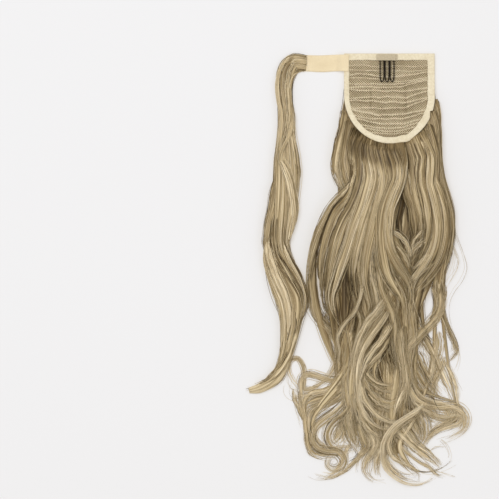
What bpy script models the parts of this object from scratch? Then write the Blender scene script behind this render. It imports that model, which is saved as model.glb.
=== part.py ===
"""A wrap-round ponytail hairpiece, laid flat on a table with its net side up.

The net base with its sewn binding lies on the hair, which is sewn in rows to the side that faces
the table. A closure tape crosses the top of that side and runs on as a strap, and the strap ends
in one long loose strand. A small wire comb is held on the net under a cloth tab.
X runs to the right, Y from the hair's tips to the top edge, and Z up from the table, in metres.
"""

import math

import bmesh
import bpy
import numpy as np

# The net base: straight sides above a round end
BASE_WIDTH = 0.104
BASE_SIDE = 0.048
BASE_ROUND = 0.056
NET_WALL = 0.0012
RIB_HEIGHT = 0.0006
RIB_WIDTH = 0.0028
BASE_RISE = 0.0125
BASE_CROWN = 0.0025
# The ribbon that is folded round the net's edge, and how much of it shows on each side
BINDING_TOP = 0.0066
BINDING_LEFT = 0.0046
BINDING_RIGHT = 0.0072
BINDING_BOTTOM = 0.0062
BINDING_WALL = 0.001
# The closure tape
TAPE_WIDTH = 0.020
TAPE_WALL = 0.0014
STRAP_REACH = 0.0485
STRAP_LAP = 0.0042
STRAP_RAMP = 0.0065
TAPE_RIPPLE = 0.0004
# The wire comb and the tab that holds it
COMB_TEETH = 3
COMB_PITCH = 0.0059
COMB_WIRE = 0.0011
COMB_LENGTH = 0.0248
COMB_TIP = 0.0065
COMB_BOW = 0.0018
COMB_SHIFT = -0.0030
WIRE_SIDES = 6
TAB_WIDTH = 0.0246
TAB_DEPTH = 0.0072
TAB_WALL = 0.001
# The hair, measured from the base's top edge to the lowest tip
HAIR_LENGTH = 0.508
HAIR_SPREAD = 1.13 * BASE_WIDTH
HAIR_DEPTH = 0.026
LOCK_WIDTH = 0.0165
FIRST_STATION = 0.093
LAST_STATION = 0.926
# The strand at the strap's end
STRAND_DROP = 0.385
STRAND_WIDTH = 0.042
STRAND_DEPTH = 0.0155
STRAND_LAP = 0.003
# Clearance between pieces that are sewn or laid together
SEAM_GAP = 0.0003

HALF_BASE = BASE_WIDTH / 2
BASE_HEIGHT = BASE_SIDE + BASE_ROUND
BASE_SEAT = TAPE_WALL + SEAM_GAP + BINDING_WALL + SEAM_GAP + NET_WALL / 2
FLANGE_IN = NET_WALL / 2 + SEAM_GAP
FLANGE_OUT = FLANGE_IN + BINDING_WALL
STRAP_STEP = BASE_SEAT + FLANGE_OUT + SEAM_GAP
ROOT_LINE = TAPE_WIDTH + 2 * SEAM_GAP
BELOW_TABLE = 0.02

# Sewn rows of the net: how far down the base they lie, as a share of its height, and how much
# their left and right ends climb, as a share of the widest climb.
ROW_CLIMB = 0.0092
WEFT_ROWS = (
    # down, left, right
    (0.240, 0.05, 0.05),
    (0.300, 0.15, 0.25),
    (0.372, 0.05, 0.80),
    (0.420, 0.10, 0.35),
    (0.482, -0.05, 0.78),
    (0.545, 0.30, 0.50),
    (0.616, 0.05, 1.00),
    (0.686, 0.50, 0.70),
    (0.732, 0.40, 0.90),
    (0.788, 0.60, 0.95),
    (0.838, 0.50, 0.70),
    (0.886, 0.40, 0.40),
)
# Columns of the net across its half width, with the two places where the rows bend
LEFT_BEND = -0.40
RIGHT_BEND = 0.35
NET_COLUMNS = (-1.0, -0.88, -0.66, LEFT_BEND, -0.10, 0.14, RIGHT_BEND, 0.60, 0.80, 0.90, 1.0)

# The body of hair that the locks lie on, at nine even stations from the base to the tips: its two
# edges across, as shares of the spread, and the hair's depth there as a share of its full depth.
BODY_SECTIONS = (
    # left, right, depth
    (-0.38, 0.38, 0.46),
    (-0.46, 0.43, 0.74),
    (-0.44, 0.46, 0.95),
    (-0.64, 0.57, 1.00),
    (-0.73, 0.44, 0.97),
    (-0.47, 0.20, 0.92),
    (-0.37, 0.22, 0.86),
    (-0.40, 0.28, 0.72),
    (-0.20, 0.10, 0.40),
)
BODY_SHARE = 0.62

# One row for each lock. It sets out at its first station, and the route is its place across at
# that station and the ones after it, as shares of the spread. Then it curls: each step turns by
# an angle in degrees, to the right where positive, while it runs on by a share of the spread.
# Level is the lock's height in the hair's depth, and width is a share of the lock width.
LOCKS = (
    # name, level, width, first, route, curls
    ("left_root", 0.62, 0.95, 0, (-0.39, -0.46, -0.47, -0.56), ()),
    (
        "left_outer", 0.80, 0.66, 0, (-0.37, -0.35, -0.40, -0.70, -0.77, -0.70, -0.53),
        ((-85, 0.37), (0, 0.14), (-300, 0.42)),
    ),
    ("left_wide", 0.76, 1.45, 0, (-0.32, -0.31, -0.33, -0.51, -0.58, -0.53, -0.50), ((-75, 0.42), (40, 0.21))),
    (
        "left_inner", 0.80, 1.10, 0, (-0.25, -0.24, -0.26, -0.37, -0.44, -0.44, -0.40, -0.72),
        ((50, 0.24), (85, 0.30), (0, 0.10), (-130, 0.26), (-20, 0.16)),
    ),
    (
        "left_curl", 0.50, 0.66, 4, (-0.50, -0.47, -0.46),
        ((-85, 0.38), (0, 0.04), (88, 0.22), (5, 0.38), (80, 0.18), (0, 0.18), (-290, 0.38)),
    ),
    ("crossing_left", 0.88, 0.85, 0, (-0.18, -0.17, -0.18, -0.28, -0.32, -0.39, -0.50, -0.43), ((-10, 0.36),)),
    ("centre_left", 0.80, 1.10, 0, (-0.11, -0.10, -0.11, -0.18, -0.23, -0.17, -0.28, -0.36), ((-10, 0.34),)),
    ("light_crossing", 0.90, 1.10, 4, (0.12, -0.13, -0.33, -0.38), ((-15, 0.36),)),
    ("left_trunk", 0.66, 1.10, 4, (-0.26, -0.26, -0.36, -0.42), ((-20, 0.32),)),
    ("centre_mid", 0.84, 1.05, 0, (-0.05, -0.04, -0.06, -0.14, -0.08, 0.08, 0.08, 0.16), ((-60, 0.34),)),
    ("centre", 0.88, 1.10, 0, (0.01, 0.02, 0.00, -0.09, 0.07, 0.15, 0.13, 0.18), ((70, 0.26),)),
    ("centre_inner", 0.85, 0.90, 0, (0.07, 0.08, 0.07, 0.00, 0.17, 0.18, 0.14, 0.08), ((-40, 0.22),)),
    ("swirl", 0.86, 1.00, 4, (0.10, 0.04, -0.22), ((125, 0.80),)),
    ("swirl_inner", 0.84, 0.60, 4, (0.04, -0.02, -0.15), ((110, 0.42),)),
    ("gap_lining", 0.70, 0.95, 0, (0.14, 0.15, 0.17, 0.28, 0.21, 0.14), ()),
    (
        "right_inner", 0.88, 1.00, 0, (0.22, 0.22, 0.24, 0.39, 0.30, 0.21, 0.18),
        ((75, 0.36), (0, 0.30), (-150, 0.34), (0, 0.26)),
    ),
    (
        "right_middle", 0.78, 0.90, 0, (0.31, 0.32, 0.33, 0.48, 0.39, 0.26, 0.24),
        ((20, 0.20), (45, 0.25), (0, 0.20), (-140, 0.22), (0, 0.14)),
    ),
    ("right_front", 0.90, 0.90, 0, (0.38, 0.39, 0.43, 0.55, 0.49, 0.43, 0.14, 0.11), ((-40, 0.28),)),
    ("right_outer", 0.66, 0.75, 0, (0.41, 0.45, 0.48, 0.60, 0.52, 0.54, 0.59, 0.67), ((-150, 0.26), (-10, 0.18))),
    ("right_under", 0.55, 0.90, 2, (0.40, 0.44, 0.34, 0.33, 0.45, 0.44), ((-25, 0.20), (30, 0.22))),
    (
        "long_curl", 0.88, 0.80, 5, (0.46, 0.43, 0.29),
        ((-15, 0.06), (0, 0.26), (60, 0.16), (5, 0.10), (80, 0.34), (35, 0.24)),
    ),
    ("tail_right", 0.80, 0.95, 5, (0.11, 0.10, 0.03), ((62, 0.26), (0, 0.50))),
    ("tail_left", 0.60, 0.75, 5, (0.00, -0.04, -0.08), ((-25, 0.30), (-10, 0.20), (70, 0.22))),
    ("tail_middle", 0.50, 0.55, 6, (-0.06, -0.05), ((-15, 0.40), (25, 0.30))),
    ("tail_wisp", 0.46, 0.55, 6, (-0.10, -0.12), ((-10, 0.30), (-50, 0.20), (0, 0.28))),
    ("left_sweep", 0.56, 1.05, 5, (-0.42, -0.42), ((-70, 0.36), (10, 0.30))),
    ("right_sweep", 0.60, 1.05, 5, (0.14, 0.16), ((68, 0.36), (0, 0.34))),
    ("right_fan", 0.54, 1.20, 6, (0.09, 0.11), ((50, 0.34), (-10, 0.30))),
    ("centre_fan", 0.50, 1.40, 6, (-0.03, -0.01), ((-5, 0.42),)),
    ("tail_fan", 0.64, 0.55, 6, (0.02, -0.02), ((20, 0.30), (35, 0.40), (-20, 0.16))),
)
ROOM_RINGS = (1.0, 0.93, 0.83, 0.66, 0.40)
LOCK_SIDES = 6
LOCK_RINGS = 11
LOCK_FLATNESS = 0.62
BEND_WEIGHT = 1.6
BODY_SIDES = 16
TIP_SHARE = 0.20
ROOT_TUCK = 0.93

# The strand's sections from the strap's end: across and down as shares of its drop, then its
# width and its depth as shares of its widest and its deepest.
STRAND_SECTIONS = (
    # across, down, width, depth
    (0.000, 0.000, 0.45, 0.30),
    (-0.043, -0.002, 0.50, 0.42),
    (-0.066, 0.044, 0.50, 0.55),
    (-0.065, 0.111, 0.46, 0.66),
    (-0.060, 0.202, 0.50, 0.76),
    (-0.062, 0.325, 0.76, 0.86),
    (-0.074, 0.438, 0.76, 0.88),
    (-0.091, 0.554, 0.76, 0.92),
    (-0.068, 0.646, 0.94, 1.00),
    (-0.046, 0.716, 0.94, 0.98),
    (-0.045, 0.790, 0.60, 0.88),
    (-0.059, 0.875, 0.42, 0.74),
    (-0.089, 0.952, 0.38, 0.62),
    (-0.138, 0.989, 0.32, 0.48),
    (-0.178, 1.000, 0.16, 0.30),
)
STRAND_SIDES = 15
STRAND_RINGS = 34
STRAND_RIDGES = 3
STRAND_TWIST = 14.0
RIDGE_SHARE = 0.13

HAIR_COLOUR = (0.33, 0.25, 0.14)
NET_COLOUR = (0.42, 0.34, 0.22)
BINDING_COLOUR = (0.82, 0.74, 0.58)
STRAP_COLOUR = (0.82, 0.69, 0.46)
TAPE_COLOUR = (0.70, 0.60, 0.42)
WIRE_COLOUR = (0.02, 0.012, 0.008)


def clear_scene():
    for thing in list(bpy.data.objects):
        bpy.data.objects.remove(thing, do_unlink=True)


def material(name, colour, roughness, metallic=0.0):
    made = bpy.data.materials.new(name)
    made.use_nodes = True
    shader = made.node_tree.nodes["Principled BSDF"]
    shader.inputs["Base Color"].default_value = (*colour, 1.0)
    shader.inputs["Roughness"].default_value = roughness
    shader.inputs["Metallic"].default_value = metallic
    return made


def add_mesh(name, points, faces, finish=None):
    """A mesh object whose faces are turned outwards."""
    mesh = bpy.data.meshes.new(name)
    mesh.from_pydata([tuple(map(float, p)) for p in points], [], faces)
    body = bmesh.new()
    body.from_mesh(mesh)
    bmesh.ops.recalc_face_normals(body, faces=body.faces)
    body.to_mesh(mesh)
    body.free()
    made = bpy.data.objects.new(name, mesh)
    bpy.context.scene.collection.objects.link(made)
    if finish:
        mesh.materials.append(finish)
    return made


def as_cutter(thing):
    thing.hide_render = True
    thing.display_type = "WIRE"
    return thing


def shade_round(thing, crease=40):
    thing.data.shade_smooth()
    thing.data.set_sharp_from_angle(angle=math.radians(crease))


def tube_faces(rings, sides, closed_path=False):
    """Faces that join rings of points, with end caps unless the path runs round to its start."""
    faces = []
    for ring in range(rings if closed_path else rings - 1):
        here, there = ring * sides, (ring + 1) % rings * sides
        for side in range(sides):
            beside = (side + 1) % sides
            faces.append((here + side, here + beside, there + beside, there + side))
    if not closed_path:
        faces.append(tuple(range(sides)))
        faces.append(tuple((rings - 1) * sides + side for side in range(sides)))
    return faces


def box(name, low, high, finish=None):
    corners = [(x, y, z) for x in (low[0], high[0]) for y in (low[1], high[1]) for z in (low[2], high[2])]
    faces = [(0, 1, 3, 2), (4, 6, 7, 5), (0, 4, 5, 1), (2, 3, 7, 6), (0, 2, 6, 4), (1, 5, 7, 3)]
    return add_mesh(name, corners, faces, finish)


def boolean(thing, operation, other, solver="EXACT"):
    """Joins or cuts thing with one object, or with all the objects of a collection."""
    made = thing.modifiers.new(operation.title(), "BOOLEAN")
    made.operation = operation
    made.solver = solver
    if isinstance(other, bpy.types.Collection):
        made.operand_type = "COLLECTION"
        made.collection = other
    else:
        made.object = other


def ease(share):
    share = min(max(share, 0.0), 1.0)
    return share * share * (3 - 2 * share)


def smooth_route(values, places):
    """The values at evenly spaced stations, read at places between them on one smooth curve."""
    values = np.asarray(values, float)
    slopes = np.gradient(values, axis=0)
    whole = np.clip(np.floor(places).astype(int), 0, len(values) - 2)
    part = (places - whole).reshape(-1, *[1] * (values.ndim - 1))
    start, end = values[whole], values[whole + 1]
    first, last = slopes[whole], slopes[whole + 1]
    return (
        (2 * part**3 - 3 * part**2 + 1) * start
        + (part**3 - 2 * part**2 + part) * first
        + (3 * part**2 - 2 * part**3) * end
        + (part**3 - part**2) * last
    )


def evenly(points, count):
    """The same path with count points at even distances, and each point's share of the way."""
    steps = np.linalg.norm(np.diff(points[:, :2], axis=0), axis=1)
    run = np.concatenate([[0.0], np.cumsum(steps)])
    shares = np.linspace(0, 1, count)
    along = np.stack([np.interp(shares * run[-1], run, column) for column in points.T], axis=1)
    return along, shares


def sideways(line):
    """Unit steps to the left of a line, level with the table, at each of its points."""
    way = np.gradient(line[:, :2], axis=0)
    way /= np.linalg.norm(way, axis=1)[:, None]
    return np.stack([-way[:, 1], way[:, 0]], axis=1)


# ---- the base ----


def half_width(down, inset=0.0):
    """Half the base's width at a distance below its top edge, moved inwards by inset."""
    if down <= BASE_SIDE:
        return HALF_BASE - inset
    return (HALF_BASE - inset) * math.sqrt(max(0.0, 1 - ((down - BASE_SIDE) / (BASE_ROUND - inset)) ** 2))


def base_height(x, y):
    """Height of the middle of the net: level on the tape, then climbing over the hair, crowned."""
    climb = ease((-y - TAPE_WIDTH) / (BASE_HEIGHT - TAPE_WIDTH))
    crown = 1 - min(1.0, (x / HALF_BASE) ** 2)
    return BASE_SEAT + climb * (BASE_RISE + BASE_CROWN * crown)


def base_outline(left, right, top, bottom, side_steps=5, round_steps=26, top_steps=8):
    """Points round the base's edge, moved inwards by its own distance on each side."""
    half = HALF_BASE - (left + right) / 2
    middle = (left - right) / 2
    depth = BASE_ROUND - bottom
    points = [(middle - half + 2 * half * step / top_steps, -top) for step in range(top_steps)]
    for step in range(side_steps):
        points.append((middle + half, -top - (BASE_SIDE - top) * step / side_steps))
    for step in range(round_steps):
        angle = math.pi * step / round_steps
        points.append((middle + half * math.cos(angle), -BASE_SIDE - depth * math.sin(angle)))
    for step in range(side_steps):
        points.append((middle - half, -BASE_SIDE + (BASE_SIDE - top) * step / side_steps))
    return points


def row_climb(share, left, right):
    """How far a sewn row climbs at a share of the half width: level between its two bends."""
    if share > RIGHT_BEND:
        return ROW_CLIMB * right * (share - RIGHT_BEND) / (1 - RIGHT_BEND)
    if share < LEFT_BEND:
        return ROW_CLIMB * left * (LEFT_BEND - share) / (1 + LEFT_BEND)
    return 0.0


def make_net(finish):
    """The net with its raised sewn rows, one strip of faces for each side of each rib."""
    lines = [(SEAM_GAP / BASE_HEIGHT, 0.0, 0.0, 0.0)]
    foot, crest = RIB_WIDTH / 2 / BASE_HEIGHT, RIB_WIDTH / 5 / BASE_HEIGHT
    for down, left, right in WEFT_ROWS:
        for offset, raised in ((-foot, 0.0), (-crest, 1.0), (crest, 1.0), (foot, 0.0)):
            lines.append((down + offset, left, right, raised))
    lines.append((0.985, 0.0, 0.0, 0.0))
    top, bottom = [], []
    for down, left, right, raised in lines:
        for share in NET_COLUMNS:
            y = -down * BASE_HEIGHT + row_climb(share, left, right)
            x = share * half_width(-y, SEAM_GAP / 2)
            mid = base_height(x, y)
            clear = abs(x) < half_width(-y, BINDING_RIGHT) - RIB_WIDTH
            lift = RIB_HEIGHT * raised if clear else 0.0
            top.append((x, y, mid + NET_WALL / 2 + lift))
            bottom.append((x, y, mid - NET_WALL / 2))
    rows, columns = len(lines), len(NET_COLUMNS)
    shift = rows * columns
    faces = []
    for row in range(rows - 1):
        for column in range(columns - 1):
            a = row * columns + column
            b, c, d = a + 1, a + columns + 1, a + columns
            faces.append((a, d, c, b))
            faces.append((shift + a, shift + b, shift + c, shift + d))
    rim = [column for column in range(columns)]
    rim += [row * columns + columns - 1 for row in range(1, rows)]
    rim += [(rows - 1) * columns + column for column in range(columns - 2, -1, -1)]
    rim += [row * columns for row in range(rows - 2, 0, -1)]
    for here, there in zip(rim, rim[1:] + rim[:1]):
        faces.append((here, there, shift + there, shift + here))
    net = add_mesh("base_net", top + bottom, faces, finish)
    shade_round(net)
    return net


def make_binding(finish):
    """A ribbon folded over the net's edge: a channel whose eight corner lines run round the base."""
    outside, inside = [-(SEAM_GAP + BINDING_WALL)] * 4, [-SEAM_GAP] * 4
    shown = [BINDING_LEFT, BINDING_RIGHT, BINDING_TOP, BINDING_BOTTOM]
    corners = (
        (outside, FLANGE_OUT),
        (outside, -FLANGE_OUT),
        (shown, -FLANGE_OUT),
        (shown, -FLANGE_IN),
        (inside, -FLANGE_IN),
        (inside, FLANGE_IN),
        (shown, FLANGE_IN),
        (shown, FLANGE_OUT),
    )
    loops = [[(x, y, base_height(x, y) + lift) for x, y in base_outline(*insets)] for insets, lift in corners]
    rings = len(loops[0])
    points = [loops[corner][ring] for ring in range(rings) for corner in range(len(corners))]
    binding = add_mesh("base_binding", points, tube_faces(rings, len(corners), closed_path=True), finish)
    shade_round(binding)
    return binding


def make_tape(name, profile, finish):
    """A length of closure tape that follows a profile of places across and heights above the table."""
    points = []
    for step, (x, z) in enumerate(profile):
        far = -TAPE_RIPPLE * (1 + math.sin(1.7 * step))
        near = -TAPE_WIDTH - TAPE_RIPPLE * math.cos(2.3 * step)
        points += [(x, far, z), (x, near, z), (x, near, z + TAPE_WALL), (x, far, z + TAPE_WALL)]
    return add_mesh(name, points, tube_faces(len(profile), 4), finish)


def band_profile():
    """The closure band lies flat under the whole width of the base."""
    steps = 10
    return [(-HALF_BASE + BASE_WIDTH * step / steps, 0.0) for step in range(steps + 1)]


def strap_profile():
    """The strap lies flat on the table, then steps up to be sewn onto the base's left edge."""
    edge = -HALF_BASE - 2 * BINDING_WALL
    foot = edge - STRAP_RAMP
    end = -HALF_BASE - STRAP_REACH
    steps = 5
    flat = [(end + (foot - end) * step / steps, 0.0) for step in range(steps + 1)]
    middle = ((foot + edge) / 2, STRAP_STEP / 2)
    return [*flat, middle, (edge, STRAP_STEP), (-HALF_BASE + STRAP_LAP, STRAP_STEP)]


# ---- the comb ----


def comb_height(x, y):
    """Height of the wire: on the binding under the tab, then bowed clear of the net."""
    along = (-y - TAB_DEPTH) / COMB_LENGTH
    bow = COMB_BOW * math.sin(math.pi * min(max(along, 0.0), 1.0))
    return base_height(x, y) + FLANGE_OUT + SEAM_GAP + COMB_WIRE / 2 + bow


def comb_route():
    """One wire bent into teeth, each a long loop with a narrow round tip."""
    loop = COMB_PITCH - COMB_WIRE - SEAM_GAP
    turn = (COMB_PITCH - loop) / 2
    head = -TAB_DEPTH * 0.62
    shoulder = -TAB_DEPTH - COMB_LENGTH + COMB_TIP
    route = []
    for tooth in range(COMB_TEETH):
        middle = COMB_SHIFT + (tooth - (COMB_TEETH - 1) / 2) * COMB_PITCH
        for step in range(5):
            route.append((middle - loop / 2, head + (shoulder - head) * step / 5))
        for step in range(9):
            angle = math.pi * step / 8
            route.append((middle - loop / 2 * math.cos(angle), shoulder - COMB_TIP * math.sin(angle)))
        for step in range(1, 6):
            route.append((middle + loop / 2, shoulder + (head - shoulder) * step / 5))
        if tooth < COMB_TEETH - 1:
            for step in range(1, 4):
                angle = math.pi * step / 4
                x = middle + COMB_PITCH / 2 - turn * math.cos(angle)
                route.append((x, head + turn * math.sin(angle)))
    return [(x, y, comb_height(x, y)) for x, y in route]


def make_comb(finish):
    route = np.array(comb_route())
    points = []
    for place, left in zip(route, sideways(route)):
        for side in range(WIRE_SIDES):
            angle = 2 * math.pi * (side + 0.5) / WIRE_SIDES
            across, up = COMB_WIRE / 2 * math.cos(angle), COMB_WIRE / 2 * math.sin(angle)
            points.append((place[0] + left[0] * across, place[1] + left[1] * across, place[2] + up))
    comb = add_mesh("comb", points, tube_faces(len(route), WIRE_SIDES), finish)
    shade_round(comb)
    return comb


def make_tab(finish):
    """The cloth tab over the comb's head: flat on the binding at its ends, raised over the wire."""
    bridge = COMB_TEETH * COMB_PITCH / 2 + SEAM_GAP
    ramp = 2 * COMB_WIRE
    low = FLANGE_OUT + SEAM_GAP
    high = low + COMB_WIRE + SEAM_GAP
    profile = (
        (-TAB_WIDTH / 2, low),
        (-bridge - ramp, low),
        (-bridge, high),
        (bridge, high),
        (bridge + ramp, low),
        (TAB_WIDTH / 2, low),
    )
    points = []
    for across, lift in profile:
        x = COMB_SHIFT + across
        for y, above in ((0, 0), (-TAB_DEPTH, 0), (-TAB_DEPTH, TAB_WALL), (0, TAB_WALL)):
            points.append((x, y, base_height(x, y) + lift + above))
    tab = add_mesh("comb_tab", points, tube_faces(len(profile), 4), finish)
    shade_round(tab)
    return tab


# ---- the hair ----


def station_y(places):
    """How far up the page the stations lie."""
    step = (LAST_STATION - FIRST_STATION) / (len(BODY_SECTIONS) - 1)
    return -HAIR_LENGTH * (FIRST_STATION + places * step)


def hair_depth(y):
    """The hair's depth at a height up the page."""
    stations = np.arange(len(BODY_SECTIONS))
    shares = np.array([depth for _, _, depth in BODY_SECTIONS])
    return HAIR_DEPTH * np.interp(-y, -station_y(stations), shares, right=TIP_SHARE)


def lie_of_hair(x, y):
    """How high the hair lies across its body, as a share: 1 in the middle, 0 beside the body."""
    stations = np.arange(len(BODY_SECTIONS))
    edges = np.array(BODY_SECTIONS)[:, :2] * HAIR_SPREAD
    left = np.interp(-y, -station_y(stations), edges[:, 0])
    right = np.interp(-y, -station_y(stations), edges[:, 1])
    off = np.abs(x - (left + right) / 2) / ((right - left) / 2 + LOCK_WIDTH)
    return np.sqrt(1 - np.minimum(off, 1) ** 2)


def lock_line(level, first, route, curls):
    """A lock's middle line, as points with x, y and height: along its route, then round its curls.

    The lock starts a little above its first station, by a distance of its own, and one that sets
    out at station 0 starts at the sewn roots.
    """
    places = np.linspace(0, len(route) - 1, (len(route) - 1) * 10 + 1)
    x = smooth_route(np.array(route) * HAIR_SPREAD, places)
    y = station_y(first + places)
    start = LOCK_WIDTH * (0.25 + 0.3 * abs(math.sin(90 * sum(route))))
    above = -ROOT_LINE - start if first == 0 else y[0] + start
    x = np.concatenate([ROOT_TUCK * x[:1] if first == 0 else x[:1], x])
    y = np.concatenate([[above], y])
    heading = math.atan2(x[-1] - x[-2], y[-2] - y[-1])
    for turn, run in curls:
        steps = max(4, round(abs(turn) / 10))
        angles = heading + math.radians(turn) * (np.arange(steps) + 0.5) / steps
        stride = run * HAIR_SPREAD / steps
        x = np.concatenate([x, x[-1] + np.cumsum(stride * np.sin(angles))])
        y = np.concatenate([y, y[-1] - np.cumsum(stride * np.cos(angles))])
        heading += math.radians(turn)
    return np.stack([x, y, level * hair_depth(y) * lie_of_hair(x, y)], axis=1)


def along_bends(line, count):
    """The same line with count points, closer together where it bends, and their shares of its length."""
    steps = np.diff(line[:, :2], axis=0)
    lengths = np.linalg.norm(steps, axis=1)
    headings = np.unwrap(np.arctan2(steps[:, 1], steps[:, 0]))
    bends = np.abs(np.diff(headings, prepend=headings[0]))
    pace = lengths / lengths.sum() + BEND_WEIGHT * bends / (bends.sum() + 1)
    run = np.concatenate([[0.0], np.cumsum(pace)])
    distance = np.concatenate([[0.0], np.cumsum(lengths)])
    marks = np.linspace(0, run[-1], count)
    placed = np.stack([np.interp(marks, run, column) for column in line.T], axis=1)
    return placed, np.interp(marks, run, distance) / distance[-1]


def lock_girth(share):
    """A lock's width along its way, as a share of its full width: it narrows towards the tip."""
    return 1 - 0.10 * ease(share / 0.75) - 0.62 * ease((share - 0.70) / 0.30)


def make_lock(name, level, width, first, route, curls, finish):
    """One lock: an oval section carried along its line, narrowing to a small blunt tip."""
    line = lock_line(level, first, route, curls)
    rings = round(7 + LOCK_RINGS * len(line) / 110)
    line, shares = along_bends(line, rings)
    points = []
    for place, left, share in zip(line, sideways(line), shares):
        half = LOCK_WIDTH * width * lock_girth(share) / 2
        tall = half * LOCK_FLATNESS
        middle = max(place[2], tall * 0.8)
        for side in range(LOCK_SIDES):
            angle = 2 * math.pi * (side + 0.5) / LOCK_SIDES
            across, up = half * math.cos(angle), tall * math.sin(angle)
            points.append((place[0] + left[0] * across, place[1] + left[1] * across, middle + up))
    return add_mesh("lock_" + name, points, tube_faces(rings, LOCK_SIDES), finish)


def make_body(finish):
    """The body of hair under the locks: a flattened section carried down its two edges."""
    rings = 2 * len(BODY_SECTIONS) - 1
    places = np.linspace(0, len(BODY_SECTIONS) - 1, rings)
    sections = smooth_route(BODY_SECTIONS, places)
    points = []
    for (left, right, depth), y in zip(sections, station_y(places)):
        middle, half = (left + right) / 2 * HAIR_SPREAD, (right - left) / 2 * HAIR_SPREAD
        for side in range(BODY_SIDES):
            angle = 2 * math.pi * (side + 0.5) / BODY_SIDES
            across = math.copysign(abs(math.cos(angle)) ** 0.7, math.cos(angle))
            up = math.copysign(abs(math.sin(angle)) ** 0.6, math.sin(angle))
            points.append((middle + half * across, y, depth * BODY_SHARE * HAIR_DEPTH * up))
    return add_mesh("body", points, tube_faces(rings, BODY_SIDES), finish)


def make_backing(finish):
    """The sewn roots under the base: a pad that reaches up into the base's room, to be cut by it."""
    inset = BINDING_WALL
    outline = [(x, y) for x, y in base_outline(*[inset] * 4) if y < -ROOT_LINE - SEAM_GAP]
    edge = HALF_BASE - inset
    outline = [(-edge, -ROOT_LINE), (edge, -ROOT_LINE)] + outline
    above = [(x, y, BASE_SEAT + BASE_RISE + HAIR_DEPTH / 2) for x, y in outline]
    below = [(x, y, -BELOW_TABLE / 4) for x, y in outline]
    count = len(outline)
    faces = [tuple(range(count)), tuple(range(2 * count - 1, count - 1, -1))]
    faces += [(i, (i + 1) % count, count + (i + 1) % count, count + i) for i in range(count)]
    return add_mesh("ponytail_hair", above + below, faces, finish)


def make_base_room():
    """The space that the base and its binding take, cut from the hair that they lie on."""
    outline = base_outline(*[-(2 * SEAM_GAP + BINDING_WALL)] * 4, side_steps=8, round_steps=30)
    hub_y = -BASE_SIDE
    count = len(outline)
    points = [(x, y, BASE_SEAT + BASE_RISE + 2 * HAIR_DEPTH) for x, y in outline]
    for nearness in ROOM_RINGS:
        for x, y in outline:
            x, y = x * nearness, hub_y + (y - hub_y) * nearness
            points.append((x, y, base_height(x, y) - FLANGE_OUT - SEAM_GAP))
    points.append((0, hub_y, base_height(0, hub_y) - FLANGE_OUT - SEAM_GAP))
    faces = [tuple(range(count))]
    for ring in range(len(ROOM_RINGS)):
        for i in range(count):
            here, beside = ring * count + i, ring * count + (i + 1) % count
            faces.append((here, beside, count + beside, count + here))
    last = len(ROOM_RINGS) * count
    faces += [(last + i, last + (i + 1) % count, len(points) - 1) for i in range(count)]
    return as_cutter(add_mesh("base_room", points, faces))


def make_table():
    """All that lies below the table top, which flattens the hair that rests on it."""
    reach = HAIR_LENGTH + STRAND_DROP
    return as_cutter(box("table", (-reach, -reach, -BELOW_TABLE), (reach, reach, 0)))


def fill_pockets(thing):
    """Fixes the joined shape and fills the pockets that are shut in between its locks."""
    bpy.context.view_layer.update()
    graph = bpy.context.evaluated_depsgraph_get()
    solid = bmesh.new()
    solid.from_mesh(thing.evaluated_get(graph).to_mesh())
    thing.modifiers.clear()
    waiting = set(solid.faces)
    shells = []
    while waiting:
        shell, reached = [], [waiting.pop()]
        while reached:
            face = reached.pop()
            shell.append(face)
            for edge in face.edges:
                for beside in edge.link_faces:
                    if beside in waiting:
                        waiting.discard(beside)
                        reached.append(beside)
        shells.append(shell)
    shells.sort(key=len)
    for shell in shells[:-1]:
        bmesh.ops.delete(solid, geom=shell, context="FACES")
    solid.to_mesh(thing.data)
    solid.free()


def make_hair(table, finish):
    locks = bpy.data.collections.new("locks")
    bpy.context.scene.collection.children.link(locks)
    for row in LOCKS:
        locks.objects.link(as_cutter(make_lock(*row, finish)))
    locks.objects.link(as_cutter(make_body(finish)))
    hair = make_backing(finish)
    boolean(hair, "UNION", locks, "MANIFOLD")
    boolean(hair, "DIFFERENCE", table, "MANIFOLD")
    boolean(hair, "DIFFERENCE", make_base_room(), "MANIFOLD")
    fill_pockets(hair)
    return hair


def make_strand(strap_end, table, finish):
    """The long strand: a ridged oval carried down its own line from the strap's end."""
    places = np.linspace(0, len(STRAND_SECTIONS) - 1, 200)
    read = smooth_route(STRAND_SECTIONS, places)
    line = np.stack([read[:, 0], -read[:, 1], read[:, 2], read[:, 3]], axis=1)
    line[:, :2] = line[:, :2] * STRAND_DROP + (strap_end + STRAND_LAP, -TAPE_WIDTH / 2)
    line, shares = evenly(line, STRAND_RINGS)
    tangent = np.gradient(line[:, :2], axis=0)
    tangent /= np.linalg.norm(tangent, axis=1)[:, None]
    points = []
    for place, way, share in zip(line, tangent, shares):
        half, tall = place[2] * STRAND_WIDTH / 2, place[3] * STRAND_DEPTH / 2
        for side in range(STRAND_SIDES):
            angle = 2 * math.pi * side / STRAND_SIDES
            ridge = 1 + RIDGE_SHARE * math.cos(STRAND_RIDGES * angle + STRAND_TWIST * share)
            across, up = half * ridge * math.cos(angle), tall * ridge * math.sin(angle)
            points.append((place[0] - way[1] * across, place[1] + way[0] * across, tall * 0.9 + up))
    strand = add_mesh("wrap_strand", points, tube_faces(STRAND_RINGS, STRAND_SIDES), finish)
    room = box(
        "strap_room",
        (strap_end - SEAM_GAP, -TAPE_WIDTH * 1.5, -BELOW_TABLE),
        (strap_end + STRAP_REACH, TAPE_WIDTH / 2, TAPE_WALL + SEAM_GAP),
    )
    boolean(strand, "DIFFERENCE", table)
    boolean(strand, "DIFFERENCE", as_cutter(room))
    return strand


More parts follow.
